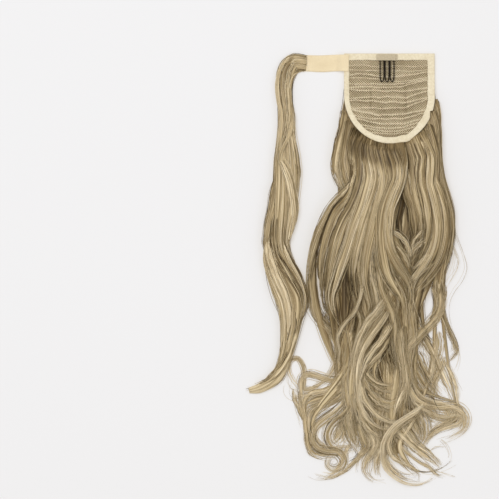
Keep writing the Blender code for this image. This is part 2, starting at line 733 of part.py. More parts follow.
def centre_on_origin():
    """Moves the whole piece so that the middle of its footprint is the origin."""
    bpy.context.view_layer.update()
    graph = bpy.context.evaluated_depsgraph_get()
    corners = []
    for thing in bpy.context.scene.collection.objects:
        if not thing.hide_render:
            shown = thing.evaluated_get(graph)
            corners += [thing.matrix_world @ v.co for v in shown.to_mesh().vertices]
            shown.to_mesh_clear()
    spread = np.array(corners)
    middle = (spread.min(axis=0) + spread.max(axis=0)) / 2
    for thing in bpy.data.objects:
        thing.location.x -= middle[0]
        thing.location.y -= middle[1]


def main():
    clear_scene()
    hair_finish = material("hair", HAIR_COLOUR, 0.45)
    net_finish = material("net", NET_COLOUR, 0.85)
    binding_finish = material("binding", BINDING_COLOUR, 0.8)
    strap_finish = material("strap", STRAP_COLOUR, 0.7)
    tape_finish = material("closure_tape", TAPE_COLOUR, 0.9)
    wire_finish = material("comb_wire", WIRE_COLOUR, 0.35, 0.6)
    make_net(net_finish)
    make_binding(binding_finish)
    make_tape("strap", strap_profile(), strap_finish)
    make_tape("closure_band", band_profile(), tape_finish)
    make_comb(wire_finish)
    make_tab(net_finish)
    table = make_table()
    make_hair(table, hair_finish)
    make_strand(-HALF_BASE - STRAP_REACH, table, hair_finish)
    centre_on_origin()


main()
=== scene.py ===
import bpy
import math
import numpy as np
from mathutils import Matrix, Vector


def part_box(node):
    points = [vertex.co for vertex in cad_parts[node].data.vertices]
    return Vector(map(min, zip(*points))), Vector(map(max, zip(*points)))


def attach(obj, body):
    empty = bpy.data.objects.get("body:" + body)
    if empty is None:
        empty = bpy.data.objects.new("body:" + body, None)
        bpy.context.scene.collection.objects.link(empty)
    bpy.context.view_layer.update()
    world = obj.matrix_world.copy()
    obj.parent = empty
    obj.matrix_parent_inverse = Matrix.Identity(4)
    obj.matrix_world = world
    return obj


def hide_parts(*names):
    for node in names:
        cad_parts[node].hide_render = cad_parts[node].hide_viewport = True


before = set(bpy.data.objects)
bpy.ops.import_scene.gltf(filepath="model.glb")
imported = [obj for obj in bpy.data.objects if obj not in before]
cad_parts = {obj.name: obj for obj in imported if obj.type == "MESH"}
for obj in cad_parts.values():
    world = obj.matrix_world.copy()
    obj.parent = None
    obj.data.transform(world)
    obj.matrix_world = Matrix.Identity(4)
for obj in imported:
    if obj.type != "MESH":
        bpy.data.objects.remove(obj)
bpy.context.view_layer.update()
print("frame loaded:", len(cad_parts), "nodes")

# The piece is worked out from the middle of its base's top edge, and this is where that point lies.
seamGap = 0.0003
bindingWall = 0.001
low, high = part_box("base_binding")
home = np.array([(low[0] + high[0]) / 2, high[1] - seamGap - bindingWall, 0.0])


# ease in words: 0 below 0, 1 above 1, and between them three times the square less twice the cube
def ease(share):
    share = np.clip(share, 0.0, 1.0)
    return share * share * (3 - 2 * share)


# ramp in words: 0 up to a start, then eased up to 1 over a width
def ramp(value, start, width):
    return ease((value - start) / width)


# smoothRoute in words: between two stations the cubic that has their values and their mean slopes
def smoothRoute(values, places):
    values = np.asarray(values, float)
    slopes = np.gradient(values, axis=0)
    whole = np.clip(np.floor(places).astype(int), 0, len(values) - 2)
    part = (places - whole).reshape(-1, *[1] * (values.ndim - 1))
    return (
        (2 * part**3 - 3 * part**2 + 1) * values[whole]
        + (part**3 - 2 * part**2 + part) * slopes[whole]
        + (3 * part**2 - 2 * part**3) * values[whole + 1]
        + (part**3 - part**2) * slopes[whole + 1]
    )


# onLine in words: the line's value at a share of its way, straight between its points and past its end
def onLine(line, shares):
    at = np.clip(shares, 0.0, 1.0) * (len(line) - 1)
    whole = np.minimum(at.astype(int), len(line) - 2)
    part = (at - whole)[..., None]
    past = (np.maximum(shares - 1.0, 0.0) * (len(line) - 1))[..., None]
    return line[whole] * (1 - part) + line[whole + 1] * part + past * (line[-1] - line[-2])


# leftOf in words: the line's level direction turned a quarter turn to the left, one unit long
def leftOf(line):
    way = np.gradient(line[:, :2], axis=0)
    way /= np.maximum(np.linalg.norm(way, axis=1), 1e-9)[:, None]
    return np.stack([-way[:, 1], way[:, 0], np.zeros(len(way))], axis=1)


# gridQuads in words: each cell of a grid of points as one face, closed round either way if asked
def gridQuads(rows, columns, closedRows=False, closedColumns=False):
    r, c = np.meshgrid(
        np.arange(rows if closedRows else rows - 1),
        np.arange(columns if closedColumns else columns - 1),
        indexing="ij",
    )
    r, c = r.ravel(), c.ravel()
    r2, c2 = (r + 1) % rows, (c + 1) % columns
    return np.stack([r * columns + c, r * columns + c2, r2 * columns + c2, r2 * columns + c], axis=1)


# Puts points and faces into a mesh piece that rides on the body and takes its finish.
def addPiece(name, points, quads, triangles=(), finish=None, tone=None, maps=None):
    mesh = bpy.data.meshes.new(name)
    quads = np.asarray(quads, np.int32).reshape(-1, 4)
    triangles = np.asarray(triangles, np.int32).reshape(-1, 3)
    mesh.vertices.add(len(points))
    mesh.vertices.foreach_set("co", (np.asarray(points) + home).astype(np.float32).ravel())
    loops = np.concatenate([quads.ravel(), triangles.ravel()])
    mesh.loops.add(len(loops))
    mesh.loops.foreach_set("vertex_index", loops)
    mesh.polygons.add(len(quads) + len(triangles))
    starts = np.concatenate([np.arange(len(quads)) * 4, len(quads) * 4 + np.arange(len(triangles)) * 3])
    mesh.polygons.foreach_set("loop_start", starts.astype(np.int32))
    mesh.polygons.foreach_set("use_smooth", np.full(len(starts), True))
    for mapName, corners in (maps or {}).items():
        layer = mesh.uv_layers.new(name=mapName, do_init=False)
        layer.uv.foreach_set("vector", np.asarray(corners, np.float32).ravel())
    if tone is not None:
        layer = mesh.attributes.new("tone", "FLOAT", "POINT")
        layer.data.foreach_set("value", np.asarray(tone, np.float32).ravel())
    mesh.update(calc_edges=True)
    mesh.validate()
    piece = bpy.data.objects.new(name, mesh)
    bpy.context.scene.collection.objects.link(piece)
    mesh.materials.append(finish)
    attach(piece, "root")
    return piece


# The camera looks straight down, as the photographer's did, and its frame is 499 pixels square.
view = {
    "frameWidth": 0.587,  # of the floor across the frame, in metres
    "distance": 3.0,
    "baseAcross": 389.2,  # pixel of the base's middle
    "baseTop": 54.8,  # pixel of the base's top edge
    "frameSize": 499,
    "sensor": 36,  # width in millimetres
}
pixel = view["frameWidth"] / view["frameSize"]


def aimCamera():
    camera = bpy.data.objects.new("camera", bpy.data.cameras.new("camera"))
    bpy.context.scene.collection.objects.link(camera)
    camera.data.sensor_width = view["sensor"]
    camera.data.lens = view["sensor"] * view["distance"] / view["frameWidth"]
    middle = view["frameSize"] / 2
    camera.location = (
        home[0] - (view["baseAcross"] - middle) * pixel,
        home[1] + (view["baseTop"] - middle) * pixel,
        view["distance"],
    )
    bpy.context.scene.camera = camera


# A signal is one socket's number. Sums, differences and products of signals add their own Math nodes.
class Signal:
    def __init__(self, finish, socket):
        self.finish = finish
        self.socket = socket

    def work(self, operation, *others):
        values = dict(enumerate((self, *others)))
        return self.finish.node("Math", {"operation": operation}, values)

    def __add__(self, other):
        return self.work("ADD", other)

    def __sub__(self, other):
        return self.work("SUBTRACT", other)

    def __mul__(self, other):
        return self.work("MULTIPLY", other)

    __radd__ = __add__
    __rmul__ = __mul__

    def sine(self):
        return self.work("SINE")

    def held(self, least=0.0, most=1.0):
        return self.work("MAXIMUM", least).work("MINIMUM", most)


# A finish is one material: its nodes come from node(), and its patterns end in the shader's sockets.
class Finish:
    def __init__(self, name, roughness, specular=0.5, sheen=0.0):
        self.material = bpy.data.materials.new(name)
        self.material.use_nodes = True
        self.tree = self.material.node_tree
        self.shader = self.tree.nodes["Principled BSDF"]
        self.shader.inputs["Roughness"].default_value = roughness
        self.shader.inputs["Specular IOR Level"].default_value = specular
        self.shader.inputs["Sheen Weight"].default_value = sheen

    def node(self, kind, settings=None, values=None, output=0):
        made = self.tree.nodes.new("ShaderNode" + kind)
        for name, value in (settings or {}).items():
            if name == "stops":
                self.setStops(made.color_ramp, value)
            else:
                setattr(made, name, value)
        for name, value in (values or {}).items():
            self.feed(made.inputs[name], value)
        return Signal(self, made.outputs[output])

    def feed(self, socket, value):
        if isinstance(value, Signal):
            self.tree.links.new(value.socket, socket)
        else:
            socket.default_value = value

    def setStops(self, ramp, stops):
        while len(ramp.elements) < len(stops):
            ramp.elements.new(0.5)
        for element, (place, colour) in zip(ramp.elements, stops):
            element.position = place
            element.color = colour

    def place(self):
        return self.node("TexCoord", output="Object")

    def split(self, vector):
        parts = self.node("SeparateXYZ", values={0: vector}).socket.node
        return [Signal(self, output) for output in parts.outputs]

    def stretched(self, vector, scale):
        return self.node("Mapping", values={"Vector": vector, "Scale": scale})

    def noise(self, vector, scale, detail=2.0, roughness=0.5):
        values = {"Vector": vector, "Scale": scale, "Detail": detail, "Roughness": roughness}
        return self.node("TexNoise", values=values)

    def blend(self, share, first, second):
        return self.node("Mix", {"data_type": "RGBA"}, {0: share, 6: first, 7: second}, output=2)

    def wear(self, colour, roughness=None, height=None, depth=0.0005, strength=0.6):
        self.feed(self.shader.inputs["Base Color"], colour)
        if roughness is not None:
            self.feed(self.shader.inputs["Roughness"], roughness)
        if height is not None:
            bump = self.node("Bump", values={"Height": height, "Distance": depth, "Strength": strength})
            self.feed(self.shader.inputs["Normal"], bump)
        return self.material


# paint in words: a screen colour from 0 to 255, each part raised to the power that screens use
def paint(red, green, blue):
    parts = []
    for part in (red, green, blue):
        part /= 255
        parts.append(part / 12.92 if part < 0.04045 else ((part + 0.055) / 1.055) ** 2.4)
    return (*parts, 1.0)


studio = {
    "floorColour": paint(167, 175, 188),
    "floorGlow": paint(179, 169, 153),  # adds to a pale grey floor whose contact shadows are warm
    "roomColour": paint(255, 255, 255),
    "roomStrength": 0.56,
    "floorSize": 6.0,
    "floorDrop": 0.0004,  # below the piece
    "grain": 3.0,
    "grainDim": 0.985,  # the grain's darker colour, as a share of the floor's
    # place above the piece, size, power and where it aims, of each soft light
    "lights": (
        ("key_light", (-0.6, 0.7, 2.6), 1.5, 40.0),
        ("fill_light", (1.2, -0.6, 2.4), 1.8, 8.0),
    ),
}


def lightStudio():
    floorFinish = Finish("floor_paint", 0.9)
    floorFinish.shader.inputs["Emission Color"].default_value = studio["floorGlow"]
    floorFinish.shader.inputs["Emission Strength"].default_value = 1.0
    grain = floorFinish.noise(floorFinish.place(), studio["grain"])
    pale = studio["floorColour"]
    dim = tuple(part * studio["grainDim"] for part in pale[:3]) + (1.0,)
    half = studio["floorSize"] / 2
    corners = [(x * half, y * half, -studio["floorDrop"]) for x, y in ((-1, -1), (1, -1), (1, 1), (-1, 1))]
    mesh = bpy.data.meshes.new("floor")
    mesh.from_pydata(corners, [], [(0, 1, 2, 3)])
    mesh.materials.append(floorFinish.wear(floorFinish.blend(grain, pale, dim)))
    floor = bpy.data.objects.new("floor", mesh)
    bpy.context.scene.collection.objects.link(floor)
    for name, place, size, power in studio["lights"]:
        light = bpy.data.objects.new(name, bpy.data.lights.new(name, "AREA"))
        light.data.shape = "DISK"
        light.data.size = size
        light.data.energy = power
        light.location = place
        light.rotation_euler = aimedDown(place)
        light.visible_camera = False
        bpy.context.scene.collection.objects.link(light)
    world = bpy.data.worlds.new("studio")
    world.use_nodes = True
    world.node_tree.nodes["Background"].inputs[0].default_value = studio["roomColour"]
    world.node_tree.nodes["Background"].inputs[1].default_value = studio["roomStrength"]
    bpy.context.scene.world = world
    bpy.context.scene.view_settings.view_transform = "Standard"


# aimedDown in words: the turn that points a light from its place to the middle of the floor
def aimedDown(place):
    x, y, z = place
    flat = math.hypot(x, y)
    return (math.atan2(flat, z), 0.0, math.atan2(x, -y))


# The net base. Everything on it is placed by distances from its top edge.
base = {
    "width": 0.104,
    "side": 0.048,  # how far down the straight sides reach
    "round": 0.056,  # depth of the round end below them
    "tapeWidth": 0.020,
    "seat": 0.0036,  # height of the net's middle over the closure band
    "rise": 0.0125,  # climb to the lower edge, over the hair
    "crown": 0.0025,
    "wall": 0.0012,
    "jogDown": 0.0665,  # where the ribbon's end laps on the right side
    "jogDepth": 0.0029,
    "jogFade": 0.0095,
}
halfBase = base["width"] / 2
baseLength = base["side"] + base["round"]


# baseHeight in words: level over the band, then eased up to the lower edge, crowned across
def baseHeight(x, y):
    climb = ease((-y - base["tapeWidth"]) / (baseLength - base["tapeWidth"]))
    crown = 1 - np.minimum(1.0, (x / halfBase) ** 2)
    return base["seat"] + climb * (base["rise"] + base["crown"] * crown)


# halfWidth in words: constant down the sides, then the half chord of an ellipse
def halfWidth(down, inset=0.0):
    share = np.clip((down - base["side"]) / (base["round"] - inset), 0.0, 1.0)
    return (halfBase - inset) * np.sqrt(1 - share**2)


# jogIn in words: the step in at the ribbon's lap on the right side, which fades out below it
def jogIn(x, y):
    below = -y - base["jogDown"]
    step = base["jogDepth"] * (1 - ease(below / base["jogFade"]))
    return np.where((below > 0) & (x > 0), step, 0.0)


# outsideBase in words: how far a place lies outside the base's edge, less than 0 inside it
def outsideBase(x, y):
    share = np.maximum(-y - base["side"], 0) / base["round"]
    return (np.sqrt((x / halfBase) ** 2 + share**2) - 1) * halfBase


# framePoint in words: pixels of the frame as metres across and up from the middle of the base's top
def framePoint(spots):
    across, down = np.array(spots, float).T
    return np.stack([(across - view["baseAcross"]) * pixel, (view["baseTop"] - down) * pixel], axis=1)


netLook = {
    "columns": 100,
    "rows": 100,
    "meshPitch": 0.0027,  # between two holes of the net
    "meshDepth": 0.00010,
    "span": (0.004, 0.985),  # of the base's length that the net covers
    "rimClear": 0.0004,
    "puckerDepth": 0.0004,
    "puckerWidth": 0.0013,
    "sag": 0.55,  # beside a row, as a share of its lift
    "sagPlace": 1.5,  # in widths of the pucker
    "tone": 0.50,
    # painted light and shade: the net lighter on a row's lift and darker where it sags below the row
    "puckerLightAndShade": 0.30,
    "patchTone": 0.10,
    "joinTone": 0.22,
    "joinWidth": 0.0013,
    "joins": ((0.0186, -0.032, -0.070), (-0.0222, -0.040, -0.066)),  # across, top and bottom of each
    "rowRipple": 0.00016,
    "rowPoints": 110,
    "rowSides": 5,
    "threadWidth": 0.0012,
    "light": paint(226, 212, 184),
    "middle": paint(176, 158, 124),
    "dark": paint(86, 70, 42),
    "threadLight": paint(232, 219, 190),
    "threadDark": paint(168, 150, 116),
}

# Sewn rows, traced from left to right: how bold each is, then points in pixels of the frame.
weftRows = (
    (0.25, (350, 66), (362, 65), (376, 67), (398, 66), (412, 67), (427, 66)),
    (0.30, (350, 70), (364, 70.5), (380, 71), (398, 71), (412, 71.5), (427, 70)),
    (0.90, (350, 75.2), (358, 73.9), (366, 74.3), (374, 75.7), (382, 76.8), (394, 77), (406, 75.6), (417, 74),
     (427, 72)),
    (0.45, (350, 78.2), (360, 77.9), (370, 78.6), (382, 79.6), (394, 81.4), (402, 81.8), (410, 80.8),
     (418, 79.2), (427, 77.6)),
    (0.70, (350, 84), (360, 84.4), (374, 84), (386, 84.6), (400, 84), (408, 82.8), (418, 80.8), (427, 79.2)),
    (0.80, (352, 87.6), (362, 87), (371, 87.1), (380, 87.6), (390, 87.4), (400, 87.1), (408, 85), (416, 82.6),
     (427, 80.6)),
    (0.90, (350, 89.6), (358, 90.5), (366, 91), (372, 90.3), (380, 91.1), (388, 91.6), (394, 90.8),
     (402, 91.8), (410, 90.8), (418, 89.4), (427, 88.2)),
    (0.95, (350, 98.5), (358, 98.2), (366, 97.5), (374, 97.4), (380, 98), (386, 96.9), (392, 97.4), (400, 98),
     (406, 98.2), (412, 95.8), (419, 93.4), (427, 91.4)),
    (1.00, (351, 100.9), (358, 100.4), (366, 101.6), (372, 100.9), (378, 102), (384, 103.1), (390, 102.2),
     (396, 102.5), (402, 103.4), (408, 102.6), (414, 100.8), (427, 98)),
    (0.85, (354, 108.8), (364, 108.3), (372, 108.2), (380, 109.2), (388, 108.8), (396, 108.1), (403, 108.6),
     (409, 106.2), (415, 103.8), (425, 100.2)),
    (1.30, (353, 110.6), (361, 112.4), (368, 113.4), (373, 114.9), (378, 115.8), (385, 115.3), (392, 115.4),
     (400, 114.9), (408, 113.8), (414, 112.3), (424, 110.8)),
    (0.80, (355, 116.4), (362, 117.8), (370, 119.5), (378, 119.2), (386, 119.7), (394, 118.9), (402, 119.4),
     (408, 117.8), (414, 116), (423, 113.3)),
    (0.95, (358, 119.4), (366, 121.4), (372, 123), (380, 124.4), (388, 124.7), (396, 124.2), (402, 124.8),
     (408, 123), (420, 119.6)),
    (0.85, (362, 125.4), (370, 127.4), (377, 128.3), (385, 128.9), (393, 128.8), (400, 128.3), (406, 126.6),
     (416, 123.4)),
    (0.70, (368, 129), (376, 130.8), (386, 132), (394, 131.9), (402, 131), (412, 127.8)),
    (0.45, (376, 133.4), (386, 134.6), (394, 134.4), (404, 133)),
)


# rowLine in words: through a row's points in straight steps, with two small ripples added
def rowLine(number, x):
    _, *way = weftRows[number]
    spots = framePoint(way)
    ripple = np.sin(x * 410 + number * 2.3) + 0.6 * np.sin(x * 930 + number * 4.1)
    return np.interp(x, spots[:, 0], spots[:, 1]) + netLook["rowRipple"] * ripple


# netMesh in words: two sets of slanting waves added, which leaves a hole between each four
def netMesh(x, y):
    turn = 2 * math.pi / netLook["meshPitch"]
    return 0.5 * (np.sin((x + y) * turn) + np.sin((x - y) * turn))


# netPucker in words: each sewn row lifts the net in a low bell, and the net sags just below the row
def netPucker(x, y):
    lift = np.zeros_like(x)
    for number, (bold, *_) in enumerate(weftRows):
        off = (y - rowLine(number, x)) / netLook["puckerWidth"]
        lift += bold * (np.exp(-(off**2)) - netLook["sag"] * np.exp(-((off + netLook["sagPlace"]) ** 2)))
    return netLook["puckerDepth"] * (lift - 0.3)


# netMaterial in words: the stored tone, with the slanting threads, fuzz and soft patches added
def netMaterial():
    finish = Finish("net_weave", 0.85, specular=0.25, sheen=0.15)
    place = finish.place()
    x, y, _ = finish.split(place)
    turn = 2 * math.pi / netLook["meshPitch"]
    warp = finish.noise(place, 160.0, 2.0)
    across, down = x - float(home[0]) + warp * 0.0016, y - float(home[1]) + warp * 0.0010
    threads = (((across + down) * turn).sine() + ((across - down) * turn).sine()) * 0.5
    fuzz = finish.noise(place, 900.0, 3.0)
    patch = finish.noise(finish.stretched(place, (60.0, 90.0, 60.0)), 1.0, 3.0)
    tone = finish.node("Attribute", {"attribute_name": "tone"}, output="Fac")
    level = tone * 0.85 + threads * 0.66 + (fuzz - 0.5) * 0.8 + (patch - 0.5) * 0.4
    stops = ((0.0, netLook["dark"]), (0.5, netLook["middle"]), (1.0, netLook["light"]))
    colour = finish.node("ValToRGB", {"stops": stops}, {0: level.held()})
    return finish.wear(colour, height=threads * 0.5 + fuzz * 0.5, depth=0.0003)


# closedSheet in words: an upper grid and a lower one with their rims joined into one closed skin,
# and the faces turned over if the upper grid's would look down
def closedSheet(upper, lower):
    rows, columns = upper.shape[:2]
    count = rows * columns
    quads = gridQuads(rows, columns)
    rim = np.concatenate([
        np.arange(columns),
        np.arange(1, rows) * columns + columns - 1,
        (rows - 1) * columns + np.arange(columns - 2, -1, -1),
        np.arange(rows - 2, 0, -1) * columns,
    ])
    after = np.roll(rim, -1)
    edge = np.stack([rim, rim + count, after + count, after], axis=1)
    points = np.concatenate([upper.reshape(-1, 3), lower.reshape(-1, 3)])
    quads = np.concatenate([quads, quads[:, ::-1] + count, edge])
    spread = points[quads[0]]
    way = np.cross(spread[1] - spread[0], spread[2] - spread[0])
    return points, quads if way[2] > 0 else quads[:, ::-1]


def makeNet():
    rows, columns = netLook["rows"], netLook["columns"]
    down, share = np.meshgrid(np.linspace(*netLook["span"], rows), np.linspace(-1, 1, columns), indexing="ij")
    y = -down * baseLength
    x = share * (halfWidth(-y, netLook["rimClear"]) - jogIn(share, y))
    middle = baseHeight(x, y)
    clear = ease((0.97 - np.abs(share)) / 0.08)
    mesh = netMesh(x, y) * netLook["meshDepth"]
    pucker = netPucker(x, y) * clear
    upper = np.stack([x, y, middle + base["wall"] * 0.32 + pucker + mesh * clear], axis=2)
    lower = np.stack([x, y, middle - base["wall"] * 0.4], axis=2)
    points, quads = closedSheet(upper, lower)
    # painted light and shade: lighter where a row lifts the net, darker where it sags below the row
    tone = netLook["tone"] + pucker / netLook["puckerDepth"] * netLook["puckerLightAndShade"]
    tone += netLook["patchTone"] * np.sin(x * 70 + 1.0) * np.sin(y * 210)
    for across, top, bottom in netLook["joins"]:
        join = np.exp(-(((x - across) / netLook["joinWidth"]) ** 2)) * (y < top) * (y > bottom)
        tone -= netLook["joinTone"] * join
    both = np.tile(tone.ravel(), 2)
    net = addPiece("net_cloth", points, quads, finish=netMaterial(), tone=both)
    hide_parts("base_net")
    return net


# fans in words: a fan of triangles over each end of a tube, from its rim to the two points after it
def fans(rings, sides):
    side, last, first = np.arange(sides), (rings - 1) * sides, rings * sides
    return np.concatenate([
        np.stack([(side + 1) % sides, side, np.full(sides, first)], axis=1),
        np.stack([last + side, last + (side + 1) % sides, np.full(sides, first + 1)], axis=1),
    ])


# tube in words: an oval section carried along a line, turned to stand square to it
def tube(line, across, up, sides):
    way = np.gradient(line, axis=0)
    way /= np.maximum(np.linalg.norm(way, axis=1), 1e-9)[:, None]
    left = np.stack([-way[:, 1], way[:, 0], np.zeros(len(way))], axis=1)
    left /= np.maximum(np.linalg.norm(left, axis=1), 1e-9)[:, None]
    above = np.cross(way, left)
    angle = 2 * math.pi * (np.arange(sides) + 0.5) / sides
    ring = (
        line[:, None]
        + left[:, None] * (np.asarray(across)[..., None, None] * np.cos(angle)[None, :, None])
        + above[:, None] * (np.asarray(up)[..., None, None] * np.sin(angle)[None, :, None])
    )
    points = np.concatenate([ring.reshape(-1, 3), line[:1], line[-1:]])
    return points, gridQuads(len(line), sides, closedColumns=True), fans(len(line), sides)


# joined in words: many tubes as one mesh, each one's numbers moved on by the points before it
def joined(parts):
    points, quads, caps, start = [], [], [], 0
    for part, faces, ends in parts:
        points.append(part)
        quads.append(faces + start)
        caps.append(ends + start)
        start += len(part)
    return np.concatenate(points), np.concatenate(quads), np.concatenate(caps)


# threadMaterial in words: slanting waves for the thread's twist, with fine fuzz
def threadMaterial(name, light, dark):
    finish = Finish(name, 0.7, specular=0.3, sheen=0.2)
    place = finish.place()
    x, y, _ = finish.split(place)
    twist = 0.0022
    lay = ((x + y * 0.7) * (2 * math.pi / twist)).sine()
    fuzz = finish.noise(place, 700.0, 3.0)
    level = lay * 0.25 + fuzz
    stops = ((0.15, dark), (0.75, light))
    colour = finish.node("ValToRGB", {"stops": stops}, {0: level.held()})
    return finish.wear(colour, height=level, depth=0.0002)


# makeWeftRows in words: each row's line from edge to edge, cut off under the binding's lips, as a
# low oval tube that swells and thins along its way
def makeWeftRows():
    parts = []
    for number, (bold, *_) in enumerate(weftRows):
        share = np.linspace(-0.99, 0.99, netLook["rowPoints"])
        y = rowLine(number, share * halfBase)
        reach = np.where(share > 0, bindingLook["right"], bindingLook["left"]) - netLook["threadWidth"]
        x = share * (halfWidth(-y, 0.0) - reach - jogIn(share, y))
        y = rowLine(number, x)
        swell = 1 + 0.45 * np.sin(share * 11 + number * 1.7) * np.sin(share * 23 + number)
        width = netLook["threadWidth"] * (0.30 + 0.42 * bold) * swell
        z = baseHeight(x, y) + 0.0004 + 0.00030 * bold
        line = np.stack([x, y, z], axis=1)
        parts.append(tube(line, width * 0.62, width * 0.42, netLook["rowSides"]))
    points, quads, caps = joined(parts)
    thread = threadMaterial("weft_thread", netLook["threadLight"], netLook["threadDark"])
    return addPiece("weft_rows", points, quads, caps, thread)


bindingLook = {
    "top": 0.0066,
    "left": 0.0046,
    "right": 0.0072,
    "bottom": 0.0062,
    "outer": 0.0019,  # the lips reach this far above and below the net's middle
    "inner": 0.0009,
    "lapLift": 0.00045,
    "cornerAcross": 0.0205,  # where the round end has a blunt corner
    "cornerDepth": 0.0019,
    "cornerSpread": 0.0065,
    "light": paint(246, 236, 210),
    "dark": paint(204, 186, 148),
}

# The upper lip's section: the share of the way from the outer edge to the inner one, and the height.
lipSection = (
    (0.0, 0.0), (0.012, 0.55), (0.05, 0.86), (0.14, 1.0), (0.35, 0.97),
    (0.6, 0.93), (0.82, 0.95), (0.93, 1.02), (0.985, 0.90), (1.0, 0.62),
)
outlinePoints = {"top": 90, "side": 42, "round": 260}


# baseOutline in words: along the top edge, down the right side, round the end and up the left side,
# moved inwards by its own distance on each side
def baseOutline(left, right, top, bottom):
    half, middle = halfBase - (left + right) / 2, (left - right) / 2
    depth = base["round"] - bottom
    tops, sides, rounds = outlinePoints["top"], outlinePoints["side"], outlinePoints["round"]
    topX = middle - half + 2 * half * np.arange(tops) / tops
    sideY = -top - (base["side"] - top) * np.arange(sides) / sides
    backY = sideY[::-1] - (base["side"] - top) / sides
    angle = math.pi * np.arange(rounds) / rounds
    rightX, leftX = np.full(sides, middle + half), np.full(sides, middle - half)
    x = np.concatenate([topX, rightX, middle + half * np.cos(angle), leftX])
    y = np.concatenate([np.full(tops, -top), sideY, -base["side"] - depth * np.sin(angle), backY])
    return np.stack([x, y], axis=1)


# bindingRing in words: a share of the way from one outline to the other, at a lift from the base
def bindingRing(outer, shown, share, lift):
    spot = outer + (shown - outer) * share
    return np.stack([spot[:, 0], spot[:, 1], baseHeight(spot[:, 0], spot[:, 1]) + lift], axis=1)


# makeBinding in words: rings round the base's edge, over the upper lip, back along the fold that
# holds the net, and under the lower lip, joined into one closed skin
def makeBinding():
    lip = [bindingLook[side] for side in ("left", "right", "top", "bottom")]
    outer = baseOutline(*[-(seamGap + bindingWall)] * 4)
    channel = baseOutline(*[-seamGap * 0.5] * 4)
    shown = baseOutline(*lip)
    for edge in (outer, channel):
        edge[:, 0] -= jogIn(edge[:, 0], edge[:, 1])
    for edge in (outer, channel, shown):
        off = (edge[:, 0] - bindingLook["cornerAcross"]) / bindingLook["cornerSpread"]
        bulge = np.exp(-(off**2)) * (edge[:, 1] < -0.06)
        edge += bindingLook["cornerDepth"] * bulge[:, None] * np.array([0.45, -0.9])
    run = np.concatenate([[0], np.cumsum(np.linalg.norm(np.diff(outer, axis=0), axis=1))])
    wobble = 0.00022 * np.sin(run * 420) + 0.00018 * np.sin(run * 173 + 1)
    inward = shown - outer
    inward /= np.linalg.norm(inward, axis=1)[:, None]
    shown = shown + inward * wobble[:, None]
    lap = bindingLook["lapLift"] * (outer[:, 0] > 0) * ease((outer[:, 1] + base["jogDown"]) / 0.0006)
    lap *= 1 - ease((outer[:, 1] + base["jogDown"] - 0.006) / 0.012)
    rings = []
    for share, lift in lipSection:
        puff = 1 + 0.10 * np.sin(run * 260 + share * 3) * np.sin(share * math.pi)
        rings.append(bindingRing(outer, shown, share, bindingLook["outer"] * lift * puff + lap * lift))
    for share, lift in ((1.0, 1.0), (0.0, 1.0), (0.0, -1.0), (1.0, -1.0)):
        rings.append(bindingRing(channel, shown, share, bindingLook["inner"] * lift))
    for share, lift in lipSection[:0:-1]:
        rings.append(bindingRing(outer, shown, share, -bindingLook["outer"] * lift))
    grid = np.stack(rings, axis=1)
    count, sides = grid.shape[:2]
    quads = gridQuads(count, sides, closedRows=True, closedColumns=True)
    finish = Finish("binding_ribbon", 0.62, specular=0.35, sheen=0.25)
    place = finish.place()
    x, y, _ = finish.split(place)
    pitch = 2 * math.pi / 0.0009
    weave = (x * pitch).sine() * (y * pitch).sine()
    fuzz = finish.noise(place, 420.0, 4.0)
    cloud = finish.noise(place, 70.0, 2.0)
    level = 0.55 + weave * 0.22 + (fuzz - 0.5) * 0.9 + (cloud - 0.5) * 0.5
    colour = finish.blend(level.held(), bindingLook["dark"], bindingLook["light"])
    material = finish.wear(colour, height=weave * 0.5 + fuzz, depth=0.00025)
    binding = addPiece("binding_ribbon", grid.reshape(-1, 3), quads, finish=material)
    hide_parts("base_binding")
    return binding


tapeLook = {
    "wall": 0.0014,
    "reach": 0.0485,  # of the strap beyond the base
    "lap": 0.0042,  # of the strap over the base's left edge
    "ramp": 0.0110,
    "step": 0.0058,  # height at which it is sewn to the base
    "ripple": 0.0004,
    "acrossPoints": 20,
    "strapPoints": 110,
    "bandPoints": 60,
    "stitches": 7,  # at the end that holds the long strand
    "stitchWidth": 0.00032,
    "stitchInset": 0.0020,
    "threadLight": paint(252, 244, 224),
    "threadDark": paint(214, 196, 160),
    "strapLight": paint(246, 229, 193),
    "strapDark": paint(216, 194, 153),
    "bandLight": paint(232, 216, 188),
    "bandDark": paint(190, 172, 138),
}


# tapeMaterial in words: crossed waves for the weave, or coarser ones for hooks, with fuzz and clouds
def tapeMaterial(name, light, dark, hooks):
    finish = Finish(name, 0.66, specular=0.3, sheen=0.2)
    place = finish.place()
    x, y, _ = finish.split(place)
    pitch = 2 * math.pi / (0.0016 if hooks else 0.0010)
    weave = (x * pitch).sine() * (y * pitch).sine()
    fuzz = finish.noise(place, 520.0, 4.0)
    cloud = finish.noise(finish.stretched(place, (30.0, 90.0, 30.0)), 1.0, 3.0)
    level = 0.6 + weave * (0.3 if hooks else 0.10) + (fuzz - 0.5) * 0.4 + (cloud - 0.5) * 0.7
    colour = finish.blend(level.held(), dark, light)
    return finish.wear(colour, height=weave + fuzz * 0.5, depth=0.0006 if hooks else 0.0002)


